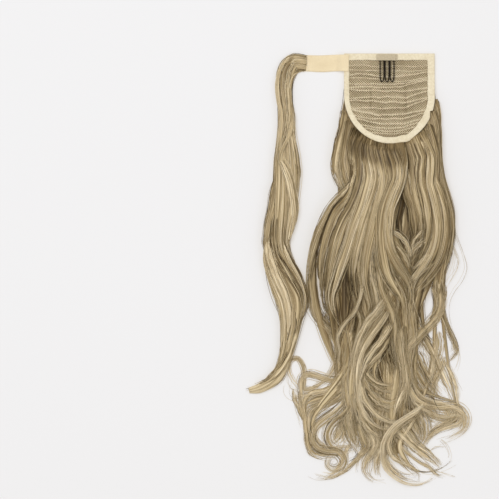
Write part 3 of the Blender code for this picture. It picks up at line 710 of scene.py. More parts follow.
# tapeGrid in words: across the tape from edge to edge, along it by a height profile, with a low
# ridge inside each edge and slow creases
def tapeGrid(x, z, wall, crease):
    across = np.linspace(0, 1, tapeLook["acrossPoints"])
    xs, share = np.meshgrid(x, across, indexing="ij")
    zs = np.repeat(np.asarray(z)[:, None], len(across), axis=1)
    far = -tapeLook["ripple"] * (1 + np.sin(130 * xs))
    near = -base["tapeWidth"] - tapeLook["ripple"] * np.cos(170 * xs + 1)
    y = far + (near - far) * share
    edge = np.minimum(share, 1 - share)
    ridge = 0.00022 * np.exp(-(((edge - 0.07) / 0.03) ** 2)) - 0.0005 * np.exp(-edge / 0.012)
    waves = crease * np.sin(xs * 210 + 3 * share) * np.sin(share * math.pi)
    upper = np.stack([xs, y, zs + wall + ridge + waves], axis=2)
    lower = np.stack([xs, y, zs + 0.0005 * np.exp(-edge / 0.012)], axis=2)
    return upper, lower


# makeStitches in words: a column of short bowed threads over the strap's end, each leaning a little
def makeStitches(end):
    parts = []
    room = base["tapeWidth"] - 2 * tapeLook["stitchInset"]
    for number in range(tapeLook["stitches"]):
        down = -tapeLook["stitchInset"] - room * number / (tapeLook["stitches"] - 1)
        run = np.linspace(0, 1, 9)
        at = end + 0.0026 - 0.12 * down + 0.0018 * (run - 0.5)
        bow = 0.0010 * np.sin(run * math.pi) - 0.0003
        line = np.stack([at, down + 0.0006 * (run - 0.5), 0.0016 + bow], axis=1)
        width = np.full(9, tapeLook["stitchWidth"])
        parts.append(tube(line, width, width, 6))
    points, quads, caps = joined(parts)
    thread = threadMaterial("strap_thread", tapeLook["threadLight"], tapeLook["threadDark"])
    stitches = addPiece("strap_stitches", points, quads, caps, thread)
    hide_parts("strap")
    return stitches


# makeTapes in words: the strap climbs from the floor to the base's edge, the closure band lies flat
def makeTapes():
    edge = -halfBase - 2 * bindingWall
    end = -halfBase - tapeLook["reach"]
    x = np.linspace(end, -halfBase + tapeLook["lap"], tapeLook["strapPoints"])
    z = tapeLook["step"] * ease((x - (edge - tapeLook["ramp"])) / tapeLook["ramp"])
    upper, lower = tapeGrid(x, z, tapeLook["wall"], 0.00012)
    points, quads = closedSheet(upper, lower)
    material = tapeMaterial("strap_tape", tapeLook["strapLight"], tapeLook["strapDark"], False)
    strap = addPiece("strap_tape", points, quads, finish=material)
    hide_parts("strap")
    stitches = makeStitches(end)
    x = np.linspace(-halfBase, halfBase, tapeLook["bandPoints"])
    upper, lower = tapeGrid(x, np.zeros_like(x), tapeLook["wall"] * 0.9, 0.0)
    points, quads = closedSheet(upper, lower)
    material = tapeMaterial("hook_tape", tapeLook["bandLight"], tapeLook["bandDark"], True)
    band = addPiece("closure_tape", points, quads, finish=material)
    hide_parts("closure_band")
    return strap, band, stitches


combLook = {
    "teeth": 3,
    "pitch": 0.0059,
    "wire": 0.0011,
    "wireSwell": 1.25,
    "length": 0.0248,
    "tip": 0.0065,  # length of a tooth's round end
    "bow": 0.0018,
    "shift": -0.0030,
    "dark": paint(9, 5, 1),
    "light": paint(32, 21, 10),
    "tabWidth": 0.0246,
    "tabDepth": 0.0072,
    "tabWall": 0.001,
    "tabRib": 0.0001,
    "tabDark": paint(176, 158, 124),
    "tabLight": paint(228, 214, 186),
}


# combLine in words: down one side of each tooth, round a half ellipse at its tip, up the other side,
# and over a small half circle to the next tooth
def combLine():
    loop = combLook["pitch"] - combLook["wire"] - seamGap
    turn = (combLook["pitch"] - loop) / 2
    head = -combLook["tabDepth"] * 0.62
    shoulder = -combLook["tabDepth"] - combLook["length"] + combLook["tip"]
    xs, ys = [], []
    for tooth in range(combLook["teeth"]):
        middle = combLook["shift"] + (tooth - (combLook["teeth"] - 1) / 2) * combLook["pitch"]
        straight = np.linspace(head, shoulder, 18)[:-1]
        left, right = (np.full_like(straight, middle + side * loop / 2) for side in (-1, 1))
        tip = math.pi * np.arange(25) / 24
        xs += [left, middle - loop / 2 * np.cos(tip), right]
        ys += [straight, shoulder - combLook["tip"] * np.sin(tip), straight[::-1]]
        if tooth < combLook["teeth"] - 1:
            bend = math.pi * np.arange(1, 10) / 10
            xs.append(middle + combLook["pitch"] / 2 - turn * np.cos(bend))
            ys.append(head + turn * np.sin(bend))
    x, y = np.concatenate(xs), np.concatenate(ys)
    along = np.clip((-y - combLook["tabDepth"]) / combLook["length"], 0, 1)
    z = baseHeight(x, y) + bindingLook["outer"] + seamGap + combLook["wire"] / 2
    return np.stack([x, y, z + combLook["bow"] * np.sin(math.pi * along)], axis=1)


def makeComb():
    line = combLine()
    wire = np.full(len(line), combLook["wire"] / 2 * combLook["wireSwell"])
    points, quads, caps = tube(line, wire, wire, 12)
    finish = Finish("comb_wire", 0.45, specular=0.14)
    place = finish.place()
    scuff = finish.noise(place, 900.0, 3.0)
    colour = finish.blend(scuff, combLook["dark"], combLook["light"])
    material = finish.wear(colour, roughness=scuff * 0.3 + 0.35, height=scuff, depth=0.00005)
    comb = addPiece("comb_teeth", points, quads, caps, material)
    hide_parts("comb")
    return comb


# makeTab in words: a low cloth sheet over the comb's head, raised where the wires pass under it, its
# edges rolled down and its skin ribbed over the wires
def makeTab():
    bridge = combLook["teeth"] * combLook["pitch"] / 2 + seamGap
    halfTab = combLook["tabWidth"] / 2
    x, share = np.meshgrid(np.linspace(-halfTab, halfTab, 70), np.linspace(0, 1, 18), indexing="ij")
    lift = bindingLook["outer"] + seamGap
    lift = lift + (combLook["wire"] + seamGap) * (1 - ease((np.abs(x) - bridge) / (2 * combLook["wire"])))
    y = -combLook["tabDepth"] * share + 0.0006 * np.cos(x / combLook["tabWidth"] * math.pi) * (1 - share)
    x = x + combLook["shift"]
    ribs = combLook["tabRib"] * np.sin((x - combLook["shift"]) * 2 * math.pi / combLook["pitch"] * 2)
    z = baseHeight(x, y) + lift
    edge = np.minimum(share, 1 - share)
    roll = 0.0003 * np.exp(-edge / 0.03)
    upper = np.stack([x, y, z + combLook["tabWall"] + ribs - roll], axis=2)
    lower = np.stack([x, y, z], axis=2)
    points, quads = closedSheet(upper, lower)
    finish = Finish("tab_cloth", 0.8, specular=0.25, sheen=0.2)
    place = finish.place()
    across, down, _ = finish.split(place)
    pitch = 2 * math.pi / 0.0011
    weave = ((across + down) * pitch).sine() * ((across - down) * pitch).sine()
    fuzz = finish.noise(place, 600.0, 3.0)
    level = 0.5 + weave * 0.3 + (fuzz - 0.5) * 0.8
    colour = finish.blend(level.held(), combLook["tabDark"], combLook["tabLight"])
    material = finish.wear(colour, height=weave + fuzz, depth=0.0003)
    tab = addPiece("comb_tab_cloth", points, quads, finish=material)
    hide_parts("comb_tab")
    return tab


# The hair, in shares of its spread across and of its length down.
hair = {
    "length": 0.508,
    "spread": 1.13 * base["width"],
    "depth": 0.026,
    "lockWidth": 0.0165,
    "firstStation": 0.093,
    "lastStation": 0.926,
    "rootTuck": 0.93,
    "tipShare": 0.20,
    "flatness": 0.62,
    "bodyShare": 0.62,
    "bendWeight": 1.6,  # how much closer the points of a line stand where it bends
    "routeSteps": 16,  # from one station to the next
    "linePoints": 160,
    "coreRings": slice(None, 151, 5),  # the line's points that a core has rings at
    "underSides": 16,
    "tressSides": 10,
    "strandRoom": 0.0008,  # least height over the floor, and gap under the base
    "coreRoom": 0.0011,
    "bodyRoom": 0.0012,
    "looseRoom": 0.0006,
    "leastRings": 24,
    "ringsPerBend": 2.4,  # for each radian that a lock bends
    "mostBend": 12,
    "frizzShare": 0.16,  # of the strands that stand out
    "looseFrom": 0.66,  # where along a lock its strands begin to drift apart
    "tipTaper": 0.72,
    "mostTall": 0.0036,  # half the thickness of a tress
    "bodyStrands": 80,
    "bodyGrid": (80, 240),  # rows and columns that the body's strands are read from
    "bodyRings": 34,
    "looseRings": 36,
    "strandWidth": 0.00034,  # half of a strand's width at its root
    "coreSize": 0.86,
    "clumpTone": 0.14,
    "strandTone": 0.15,
    # painted shade and highlight: how much darker strands low in a lock are, and lighter those on top
    "paintedHeightShade": 0.26,
    "fineStreak": 1.75,
    "broadStreak": 0.30,
    "colours": (
        (0.0, paint(76, 59, 31)),
        (0.3, paint(142, 121, 84)),
        (0.6, paint(202, 182, 142)),
        (1.0, paint(244, 229, 198)),
    ),
    "looseWidth": 0.00018,
    "strays": 2,  # by each tress below the crown
    "strandsUnder": 7,  # in a lock of full width
    # painted shade: the hair just past the base's lower edge is darkened and evened out, for the shadow where
    # it comes out from under the base
    "rootShadeTone": 0.105,
    "rootShadeReach": (0.0200, 0.0120),  # how far past the base the painted shade goes, and over what it fades
    "rootShadeMiddle": -0.015,
    "rootShadeSides": (0.028, 0.014),  # how far across it goes, and over what it fades
    "rootShadeEvening": 0.78,
    # painted light: the far ends, where the hair lies thin, are made lighter for the light that shows through
    # them
    "endPaintedLight": 0.20,
    "endPaintedLightReach": (0.30, 0.10),  # how far down the painted light of the thin ends begins, and over what it grows
    # painted shade in the hollows behind a lock: start and end of its right edge in pixels, width in metres,
    # darkness
    "pockets": (((346, 266), (331, 318), 0.018, 0.52),),
    "curlThinning": 0.42,
    "rightThinning": 0.60,
    "looseCore": 0.66,
    "looseSpread": 1.30,
    "looseStrand": 0.72,
    "strandsAPixel": 2.9,
    "overFloor": 0.0035,
    "seed": 11,
}

# The body that the locks lie on, at nine even stations: left and right edge, and depth.
bodySections = (
    (-0.38, 0.38, 0.46),
    (-0.46, 0.43, 0.74),
    (-0.44, 0.46, 0.95),
    (-0.64, 0.57, 1.00),
    (-0.73, 0.44, 0.97),
    (-0.47, 0.20, 0.92),
    (-0.37, 0.22, 0.86),
    (-0.40, 0.28, 0.72),
    (-0.20, 0.10, 0.40),
)

# Locks: height in the hair's depth, width, first station, route across, then curls as turn in degrees
# and run.
locks = {
    "left_root": (0.62, 0.95, 0, (-0.39, -0.46, -0.47, -0.56), ()),
    "left_outer": (0.80, 0.66, 0, (-0.37, -0.35, -0.40, -0.70, -0.77, -0.70, -0.53),
     ((-85, 0.37), (0, 0.14), (-300, 0.42))),
    "left_wide": (0.76, 1.45, 0, (-0.32, -0.31, -0.33, -0.51, -0.58, -0.53, -0.50),
     ((-75, 0.42), (40, 0.21))),
    "left_inner": (0.80, 1.10, 0, (-0.25, -0.24, -0.26, -0.37, -0.44, -0.44, -0.40, -0.72),
     ((50, 0.24), (85, 0.30), (0, 0.10), (-130, 0.26), (-20, 0.16))),
    "left_curl": (0.50, 0.66, 4, (-0.50, -0.47, -0.46),
     ((-85, 0.38), (0, 0.04), (88, 0.22), (5, 0.38), (80, 0.18), (0, 0.18), (-290, 0.38))),
    "crossing_left": (0.88, 0.85, 0, (-0.18, -0.17, -0.18, -0.28, -0.32, -0.39, -0.50, -0.43),
     ((-10, 0.36),)),
    "centre_left": (0.80, 1.10, 0, (-0.11, -0.10, -0.11, -0.18, -0.23, -0.17, -0.28, -0.36), ((-10, 0.34),)),
    "light_crossing": (0.90, 1.10, 4, (0.12, -0.13, -0.33, -0.38), ((-15, 0.36),)),
    "left_trunk": (0.66, 1.10, 4, (-0.26, -0.26, -0.36, -0.42), ((-20, 0.32),)),
    "centre_mid": (0.84, 1.05, 0, (-0.05, -0.04, -0.06, -0.14, -0.08, 0.08, 0.08, 0.16), ((-60, 0.34),)),
    "centre": (0.88, 1.10, 0, (0.01, 0.02, 0.00, -0.09, 0.07, 0.15, 0.13, 0.18), ((70, 0.26),)),
    "centre_inner": (0.85, 0.90, 0, (0.07, 0.08, 0.07, 0.00, 0.17, 0.18, 0.14, 0.08), ((-40, 0.22),)),
    "swirl": (0.86, 1.00, 4, (0.10, 0.04, -0.22), ((125, 0.80),)),
    "swirl_inner": (0.84, 0.60, 4, (0.04, -0.02, -0.15), ((110, 0.42),)),
    "gap_lining": (0.70, 0.95, 0, (0.14, 0.15, 0.17, 0.28, 0.21, 0.14), ()),
    "right_inner": (0.88, 1.00, 0, (0.22, 0.22, 0.24, 0.39, 0.30, 0.21, 0.18),
     ((75, 0.36), (0, 0.30), (-150, 0.34), (0, 0.26))),
    "right_middle": (0.78, 0.90, 0, (0.31, 0.32, 0.33, 0.48, 0.39, 0.26, 0.24),
     ((20, 0.20), (45, 0.25), (0, 0.20), (-140, 0.22), (0, 0.14))),
    "right_front": (0.90, 0.90, 0, (0.38, 0.39, 0.43, 0.55, 0.49, 0.43, 0.14, 0.11), ((-40, 0.28),)),
    "right_outer": (0.66, 0.75, 0, (0.41, 0.45, 0.48, 0.60, 0.52, 0.54, 0.59, 0.67),
     ((-150, 0.26), (-10, 0.18))),
    "right_under": (0.55, 0.90, 2, (0.40, 0.44, 0.34, 0.33, 0.45, 0.44), ((-25, 0.20), (30, 0.22))),
    "long_curl": (0.88, 0.80, 5, (0.46, 0.43, 0.29),
     ((-15, 0.06), (0, 0.26), (60, 0.16), (5, 0.10), (80, 0.34), (35, 0.24))),
    "tail_right": (0.80, 0.95, 5, (0.11, 0.10, 0.03), ((62, 0.26), (0, 0.50))),
    "tail_left": (0.60, 0.75, 5, (0.00, -0.04, -0.08), ((-25, 0.30), (-10, 0.20), (70, 0.22))),
    "tail_middle": (0.50, 0.55, 6, (-0.06, -0.05), ((-15, 0.40), (25, 0.30))),
    "tail_wisp": (0.46, 0.55, 6, (-0.10, -0.12), ((-10, 0.30), (-50, 0.20), (0, 0.28))),
    "left_sweep": (0.56, 1.05, 5, (-0.42, -0.42), ((-70, 0.36), (10, 0.30))),
    "right_sweep": (0.60, 1.05, 5, (0.14, 0.16), ((68, 0.36), (0, 0.34))),
    "right_fan": (0.54, 1.20, 6, (0.09, 0.11), ((50, 0.34), (-10, 0.30))),
    "centre_fan": (0.50, 1.40, 6, (-0.03, -0.01), ((-5, 0.42),)),
    "tail_fan": (0.64, 0.55, 6, (0.02, -0.02), ((20, 0.30), (35, 0.40), (-20, 0.16))),
}


# Tresses that lie on top, traced from the root to the tip: height in the hair's depth, tone (the few low dark
# ones, in the gaps between locks, are painted shade), width in pixels of the frame, and the way across and
# down the frame, in pixels.
tresses = {
    "crown": (
        (0.70, 0.55, 12, (348, 112), (345, 128), (341, 142), (338, 155), (337, 168), (340, 181), (344, 193),
         (345, 206)),
        (0.74, 0.50, 13, (353, 122), (350, 138), (347, 152), (346, 165), (348, 178), (350, 190), (346, 202),
         (338, 214)),
        (0.88, 0.60, 10, (358, 130), (353, 145), (354, 158), (357, 168), (356, 179), (349, 190), (339, 200),
         (330, 211), (322, 226), (316, 243), (311, 262), (309, 280), (311, 300), (318, 318)),
        (0.86, 0.48, 14, (362, 132), (359, 148), (359, 163), (358, 178), (354, 192), (347, 203), (338, 213),
         (331, 228), (326, 245), (322, 264), (321, 284), (323, 302), (331, 317), (342, 328)),
        (0.90, 0.52, 14, (366, 134), (361, 148), (362, 162), (362, 178), (358, 194), (352, 208), (344, 222),
         (337, 240), (333, 258), (329, 276), (326, 294), (328, 309), (336, 321), (346, 331)),
        (0.92, 0.56, 14, (370, 136), (366, 150), (368, 164), (369, 178), (365, 194), (360, 210), (354, 226),
         (349, 243), (343, 260), (337, 277), (332, 293), (332, 307), (338, 320), (347, 331)),
        (0.94, 0.60, 13, (374, 137), (371, 150), (374, 164), (376, 178), (373, 193), (368, 209), (363, 225),
         (359, 241), (355, 257), (353, 274), (355, 291), (359, 306), (359, 320)),
        (0.95, 0.56, 13, (380, 138), (378, 151), (381, 165), (383, 179), (380, 194), (375, 210), (371, 227),
         (367, 244), (364, 262), (364, 279), (367, 294), (370, 308), (367, 321), (361, 334)),
        (0.96, 0.58, 13, (386, 139), (385, 152), (389, 165), (390, 179), (386, 194), (381, 209), (379, 225),
         (379, 241), (381, 257), (385, 272), (392, 285), (399, 296), (402, 309), (401, 324), (399, 340)),
        (0.96, 0.52, 12, (392, 139), (393, 152), (397, 164), (397, 178), (392, 192), (387, 206), (384, 221),
         (385, 237), (389, 252), (396, 266), (404, 278), (409, 290), (409, 303), (405, 318), (402, 334)),
        (0.97, 0.62, 9, (397, 138), (399, 150), (401, 162), (400, 174), (397, 186), (393, 197), (389, 209),
         (387, 222), (386, 236), (390, 250), (397, 262), (403, 273), (407, 284)),
        # painted shade: a low dark tress in the gap where the two halves part
        (0.52, 0.10, 10, (402, 138), (405, 152), (408, 165), (407, 180), (402, 194), (398, 208), (396, 222),
         (399, 236), (405, 250), (409, 262)),
        (0.80, 0.46, 9, (405, 137), (409, 150), (413, 163), (413, 177), (413, 190), (416, 204), (419, 218),
         (420, 232), (417, 246), (411, 258)),
        (0.72, 0.40, 12, (404, 170), (407, 190), (411, 203), (413, 217), (414, 231), (413, 245), (409, 257)),
        (0.90, 0.56, 11, (411, 134), (416, 147), (420, 159), (419, 172), (420, 185), (423, 198), (426, 212),
         (427, 227), (425, 242), (420, 255), (413, 266), (407, 274)),
        (0.92, 0.60, 12, (417, 131), (423, 144), (428, 157), (428, 170), (427, 183), (430, 196), (433, 210),
         (435, 225), (434, 240), (430, 254), (423, 266), (415, 276), (410, 288), (409, 302), (412, 317),
         (416, 331)),
        (0.84, 0.48, 12, (424, 126), (429, 140), (432, 154), (432, 168), (432, 181), (437, 193), (441, 207),
         (443, 222), (443, 237), (440, 252), (434, 266), (425, 278), (416, 288), (412, 300), (413, 314),
         (417, 327)),
        (0.74, 0.50, 10, (430, 112), (434, 128), (435, 143), (436, 158), (438, 173), (441, 186), (445, 199),
         (448, 212), (449, 227), (448, 243), (445, 258), (440, 271), (437, 284), (439, 297), (440, 309)),
        (0.60, 0.42, 8, (433, 100), (436, 116), (436, 132), (436, 148), (437, 163), (439, 178), (443, 192),
         (447, 206), (450, 220), (451, 236), (449, 252), (446, 266), (442, 280), (443, 294)),
        (0.93, 0.66, 3, (431, 172), (434, 182), (439, 191), (443, 201), (446, 213)),
        (0.97, 0.66, 4, (358, 168), (352, 182), (344, 193), (335, 203), (327, 215)),
    ),
    "vee": (
        (0.80, 0.66, 5, (390, 228), (395, 233), (401, 238), (406, 245), (408, 254), (407, 264)),
        (0.78, 0.60, 5, (388, 238), (393, 244), (399, 250), (404, 257), (408, 266), (409, 276)),
        (0.80, 0.56, 5, (424, 228), (418, 234), (413, 240), (410, 247), (408, 256)),
        (0.84, 0.64, 5, (429, 236), (423, 241), (416, 246), (411, 253), (408, 262)),
        (0.74, 0.50, 6, (388, 248), (393, 255), (398, 262), (404, 269), (409, 277)),
        (0.92, 0.66, 4, (430, 250), (423, 259), (415, 266), (408, 271)),
        (0.94, 0.62, 5, (434, 258), (427, 267), (419, 273), (411, 279), (407, 288)),
    ),
    "left": (
        (0.60, 0.56, 7, (311, 262), (309, 280), (310, 296), (313, 310), (320, 321), (329, 331), (336, 342),
         (338, 353), (336, 364), (330, 374), (321, 382), (310, 388), (300, 391), (292, 394)),
        (0.55, 0.50, 5, (314, 290), (316, 308), (324, 320), (333, 330), (339, 341), (341, 352), (340, 364),
         (342, 375), (344, 386)),
        (0.97, 0.66, 4, (357, 240), (358, 256), (359, 272), (360, 287), (358, 301), (353, 312), (346, 320),
         (340, 329), (337, 339), (339, 351), (338, 363), (333, 373), (324, 381)),
        # painted shade: low dark tresses in the hollow behind the big left lock
        (0.60, 0.12, 8, (336, 286), (341, 296), (348, 306), (356, 314), (360, 325)),
        (0.50, 0.08, 9, (328, 302), (334, 312), (341, 321), (349, 330), (354, 342)),
        (0.54, 0.24, 9, (324, 306), (331, 316), (339, 324), (348, 333), (354, 346), (355, 360)),
        (0.72, 0.40, 9, (350, 262), (350, 278), (352, 293), (356, 307), (360, 320), (358, 334), (354, 348),
         (352, 363)),
        (0.70, 0.46, 8, (345, 268), (346, 284), (349, 298), (352, 312), (350, 326), (347, 340), (348, 356)),
        (0.66, 0.52, 10, (356, 322), (355, 338), (352, 354), (351, 370), (352, 386), (354, 402), (357, 418),
         (362, 433), (368, 446)),
        (0.62, 0.46, 9, (350, 330), (350, 348), (348, 366), (346, 382), (347, 398), (350, 414), (353, 430),
         (357, 446)),
    ),
    "middle": (
        (0.98, 0.64, 7, (384, 292), (381, 302), (374, 312), (366, 322), (360, 334), (356, 346), (353, 359),
         (352, 373), (350, 388)),
        (0.99, 0.68, 7, (390, 302), (385, 313), (378, 324), (369, 336), (362, 348), (358, 361), (356, 375),
         (356, 390), (359, 405), (366, 419)),
        (0.96, 0.60, 6, (392, 318), (387, 330), (379, 342), (371, 352), (365, 362), (361, 374), (360, 387)),
        (0.90, 0.58, 4, (388, 338), (382, 348), (374, 357), (366, 365), (361, 374), (360, 386), (363, 399)),
        (0.86, 0.50, 10, (378, 256), (378, 272), (380, 288), (385, 300), (391, 312), (394, 326), (394, 340),
         (396, 354), (400, 367), (403, 380)),
        # painted shade: low dark tresses between the middle locks
        (0.60, 0.06, 10, (384, 332), (386, 346), (388, 360), (392, 372), (396, 384)),
        (0.56, 0.04, 9, (376, 346), (378, 360), (380, 373), (386, 384), (394, 390)),
        (0.66, 0.16, 8, (390, 336), (394, 350), (399, 363), (404, 375), (407, 388)),
        (0.84, 0.54, 9, (368, 246), (368, 262), (370, 278), (374, 292), (376, 306), (372, 320), (368, 334)),
        (0.92, 0.54, 9, (404, 318), (401, 332), (401, 346), (403, 360), (405, 374), (406, 388), (404, 402),
         (400, 414)),
        (0.88, 0.50, 8, (396, 326), (397, 342), (399, 356), (402, 370), (402, 384), (398, 396), (395, 408)),
    ),
    "swirl": (
        (0.90, 0.62, 7, (358, 368), (357, 384), (358, 398), (362, 411), (369, 421), (379, 427), (389, 428),
         (398, 424)),
        (0.88, 0.56, 7, (354, 384), (356, 400), (360, 414), (367, 426), (377, 434), (388, 438)),
        (0.86, 0.66, 5, (360, 374), (361, 388), (365, 400), (372, 410), (381, 417), (391, 421), (401, 420),
         (411, 415)),
        (0.80, 0.58, 5, (361, 366), (363, 378), (368, 388), (375, 397), (382, 406), (390, 414)),
        (0.74, 0.54, 4, (363, 362), (366, 372), (373, 380), (382, 384), (391, 384), (398, 379)),
        (0.72, 0.60, 3, (362, 368), (367, 378), (375, 386), (384, 390), (393, 390), (400, 385)),
        (0.70, 0.46, 6, (366, 390), (373, 399), (381, 405), (390, 407), (398, 403)),
        (0.66, 0.44, 8, (372, 392), (380, 399), (389, 401), (397, 397), (402, 389)),
        (0.84, 0.60, 6, (408, 374), (404, 386), (399, 397), (395, 408), (395, 419)),
    ),
    "right": (
        (0.90, 0.60, 8, (440, 268), (438, 284), (440, 299), (438, 312), (431, 322), (422, 331), (413, 339),
         (406, 347), (403, 358), (403, 372), (406, 385)),
        (0.92, 0.66, 5, (439, 282), (441, 298), (440, 312), (434, 323), (425, 332), (415, 340), (407, 349),
         (402, 361), (402, 375), (405, 388), (410, 399)),
        (0.84, 0.60, 8, (412, 290), (409, 304), (410, 318), (412, 332), (410, 346), (408, 360), (408, 374),
         (411, 388)),
        (0.70, 0.44, 5, (436, 268), (428, 280), (418, 290), (413, 302), (415, 315), (420, 328), (426, 339),
         (432, 350), (437, 362)),
        (0.54, 0.50, 5, (442, 276), (444, 292), (442, 306), (445, 319), (450, 331), (455, 342), (457, 352),
         (451, 359), (444, 357)),
        (0.50, 0.42, 4, (430, 282), (434, 292), (437, 302), (440, 313), (446, 325), (451, 337), (453, 348),
         (448, 357)),
        (0.66, 0.58, 7, (418, 332), (426, 342), (433, 353), (438, 364), (443, 375), (449, 387), (453, 399),
         (456, 409)),
        (0.60, 0.54, 8, (438, 330), (437, 345), (434, 360), (431, 374), (425, 387), (420, 400)),
        (0.56, 0.58, 7, (444, 356), (440, 368), (435, 380), (430, 392), (426, 404)),
        (0.52, 0.36, 9, (410, 356), (414, 368), (420, 379), (427, 389), (436, 397), (447, 402)),
        (0.50, 0.44, 8, (416, 350), (421, 364), (428, 376), (435, 387), (443, 397)),
        (0.62, 0.54, 3, (444, 360), (450, 370), (455, 382), (457, 395), (458, 407), (462, 415)),
        (0.62, 0.48, 4, (411, 306), (413, 320), (418, 332), (421, 344), (420, 356)),
    ),
    "leftEnds": (
        (0.50, 0.58, 5, (332, 378), (320, 385), (309, 390), (303, 388), (304, 377), (303, 367), (298, 359),
         (291, 360), (289, 369), (293, 379), (300, 387), (303, 397), (306, 408)),
        (0.62, 0.52, 6, (350, 368), (342, 377), (332, 380), (320, 377), (309, 374), (302, 379), (301, 390),
         (303, 402), (307, 414), (309, 427)),
        (0.66, 0.60, 5, (346, 376), (338, 385), (327, 391), (314, 394), (302, 396), (294, 393)),
        (0.60, 0.50, 7, (348, 384), (340, 395), (330, 402), (319, 406), (311, 412), (309, 423), (310, 435),
         (314, 445), (323, 451), (334, 454)),
        (0.66, 0.46, 8, (350, 390), (343, 402), (334, 412), (324, 419), (315, 427), (312, 438), (317, 447),
         (327, 451), (337, 452), (343, 459), (341, 466), (334, 469), (328, 465), (329, 458), (336, 456),
         (340, 462)),
        (0.70, 0.40, 7, (352, 396), (347, 408), (339, 417), (331, 425), (327, 435), (330, 444), (338, 449),
         (349, 449), (360, 447)),
        (0.40, 0.56, 4, (299, 391), (300, 404), (304, 416), (307, 429), (307, 442), (310, 452), (318, 457),
         (329, 456), (338, 454)),
        (0.36, 0.58, 3, (293, 388), (295, 399), (300, 410), (305, 421), (307, 434), (308, 446), (313, 455)),
        (0.58, 0.44, 8, (348, 378), (340, 389), (329, 396), (317, 399), (307, 404), (306, 413), (310, 422)),
        (0.74, 0.56, 5, (344, 384), (337, 393), (328, 401), (317, 407), (310, 416), (312, 426)),
        (0.56, 0.50, 7, (356, 400), (350, 413), (343, 425), (337, 437), (335, 448)),
    ),
    "rightEnds": (
        (0.86, 0.56, 7, (403, 362), (406, 376), (410, 389), (417, 399), (428, 405), (440, 407), (452, 406),
         (461, 410), (466, 418), (463, 427), (455, 434), (445, 438), (436, 441)),
        (0.80, 0.60, 5, (408, 372), (412, 386), (420, 396), (431, 402), (443, 405), (454, 409), (461, 414),
         (459, 422), (449, 426), (438, 430), (429, 436), (424, 445), (428, 453)),
        (0.84, 0.66, 4, (405, 382), (410, 394), (417, 404), (427, 411), (436, 417), (445, 424), (454, 431)),
        (0.70, 0.50, 6, (412, 392), (418, 403), (426, 411), (435, 416), (446, 418), (456, 416), (463, 420),
         (462, 429), (452, 437), (441, 443)),
        (0.60, 0.44, 7, (448, 404), (457, 411), (455, 420), (444, 426), (433, 432), (424, 440), (417, 449)),
        (0.56, 0.50, 5, (436, 402), (446, 411), (448, 420), (438, 428), (428, 436), (421, 446)),
        (0.96, 0.66, 6, (432, 392), (425, 402), (415, 411), (404, 418), (394, 425), (387, 434), (383, 445),
         (383, 457), (387, 468), (395, 476), (406, 482), (418, 483), (429, 479), (437, 471)),
        (0.92, 0.60, 5, (424, 404), (413, 414), (402, 422), (393, 431), (388, 442), (391, 454), (400, 461),
         (411, 466), (419, 474), (420, 480)),
        (0.70, 0.58, 8, (392, 424), (400, 434), (409, 443), (419, 451), (429, 458), (438, 464), (443, 467)),
        (0.66, 0.62, 5, (398, 418), (405, 432), (415, 444), (426, 452), (436, 461), (441, 467)),
        (0.60, 0.52, 3, (390, 430), (398, 443), (408, 454), (419, 462), (429, 468), (438, 475), (452, 477)),
        (0.56, 0.36, 9, (404, 404), (410, 418), (416, 430), (420, 442)),
        (0.60, 0.46, 8, (412, 400), (419, 414), (424, 427), (423, 440), (414, 449)),
    ),
    "fans": (
        (0.30, 0.66, 9, (346, 414), (342, 426), (336, 437), (328, 446)),
        (0.28, 0.64, 13, (351, 388), (348, 404), (347, 420), (343, 436), (338, 452)),
        (0.30, 0.60, 16, (358, 386), (356, 402), (355, 420), (355, 438), (354, 454)),
        (0.32, 0.62, 16, (370, 384), (370, 402), (370, 420), (368, 438), (366, 456)),
        (0.30, 0.64, 16, (384, 388), (384, 404), (384, 420), (384, 438), (386, 454)),
        (0.32, 0.62, 16, (398, 388), (400, 404), (401, 420), (402, 436), (406, 450)),
        (0.34, 0.60, 15, (410, 390), (413, 404), (416, 418), (418, 432), (424, 444)),
        (0.34, 0.58, 13, (420, 398), (426, 408), (433, 417), (440, 424)),
    ),
    "tail": (
        (0.64, 0.56, 9, (360, 402), (364, 417), (370, 431), (374, 444), (369, 454), (364, 463), (363, 472)),
        (0.66, 0.60, 6, (366, 414), (374, 428), (378, 441), (372, 452), (366, 461), (365, 471), (371, 478),
         (380, 480)),
        (0.60, 0.54, 5, (374, 420), (380, 434), (380, 448), (377, 460), (376, 471), (378, 480)),
        (0.70, 0.50, 9, (384, 416), (386, 430), (383, 443), (378, 455), (374, 466), (372, 476)),
        (0.56, 0.50, 5, (370, 430), (368, 444), (360, 455), (351, 463), (344, 467)),
        (0.50, 0.54, 3, (364, 440), (360, 454), (351, 465), (340, 474), (327, 478), (313, 475)),
        (0.62, 0.52, 4, (384, 436), (384, 450), (387, 462), (395, 472), (406, 478), (418, 480)),
        (0.58, 0.46, 10, (358, 420), (362, 433), (366, 446), (362, 455)),
        (0.54, 0.44, 10, (346, 414), (349, 428), (352, 440), (357, 449)),
        (0.66, 0.48, 9, (394, 414), (393, 428), (389, 441), (385, 453)),
        (0.46, 0.56, 3, (352, 440), (346, 452), (340, 464), (333, 473), (325, 477)),
    ),
}

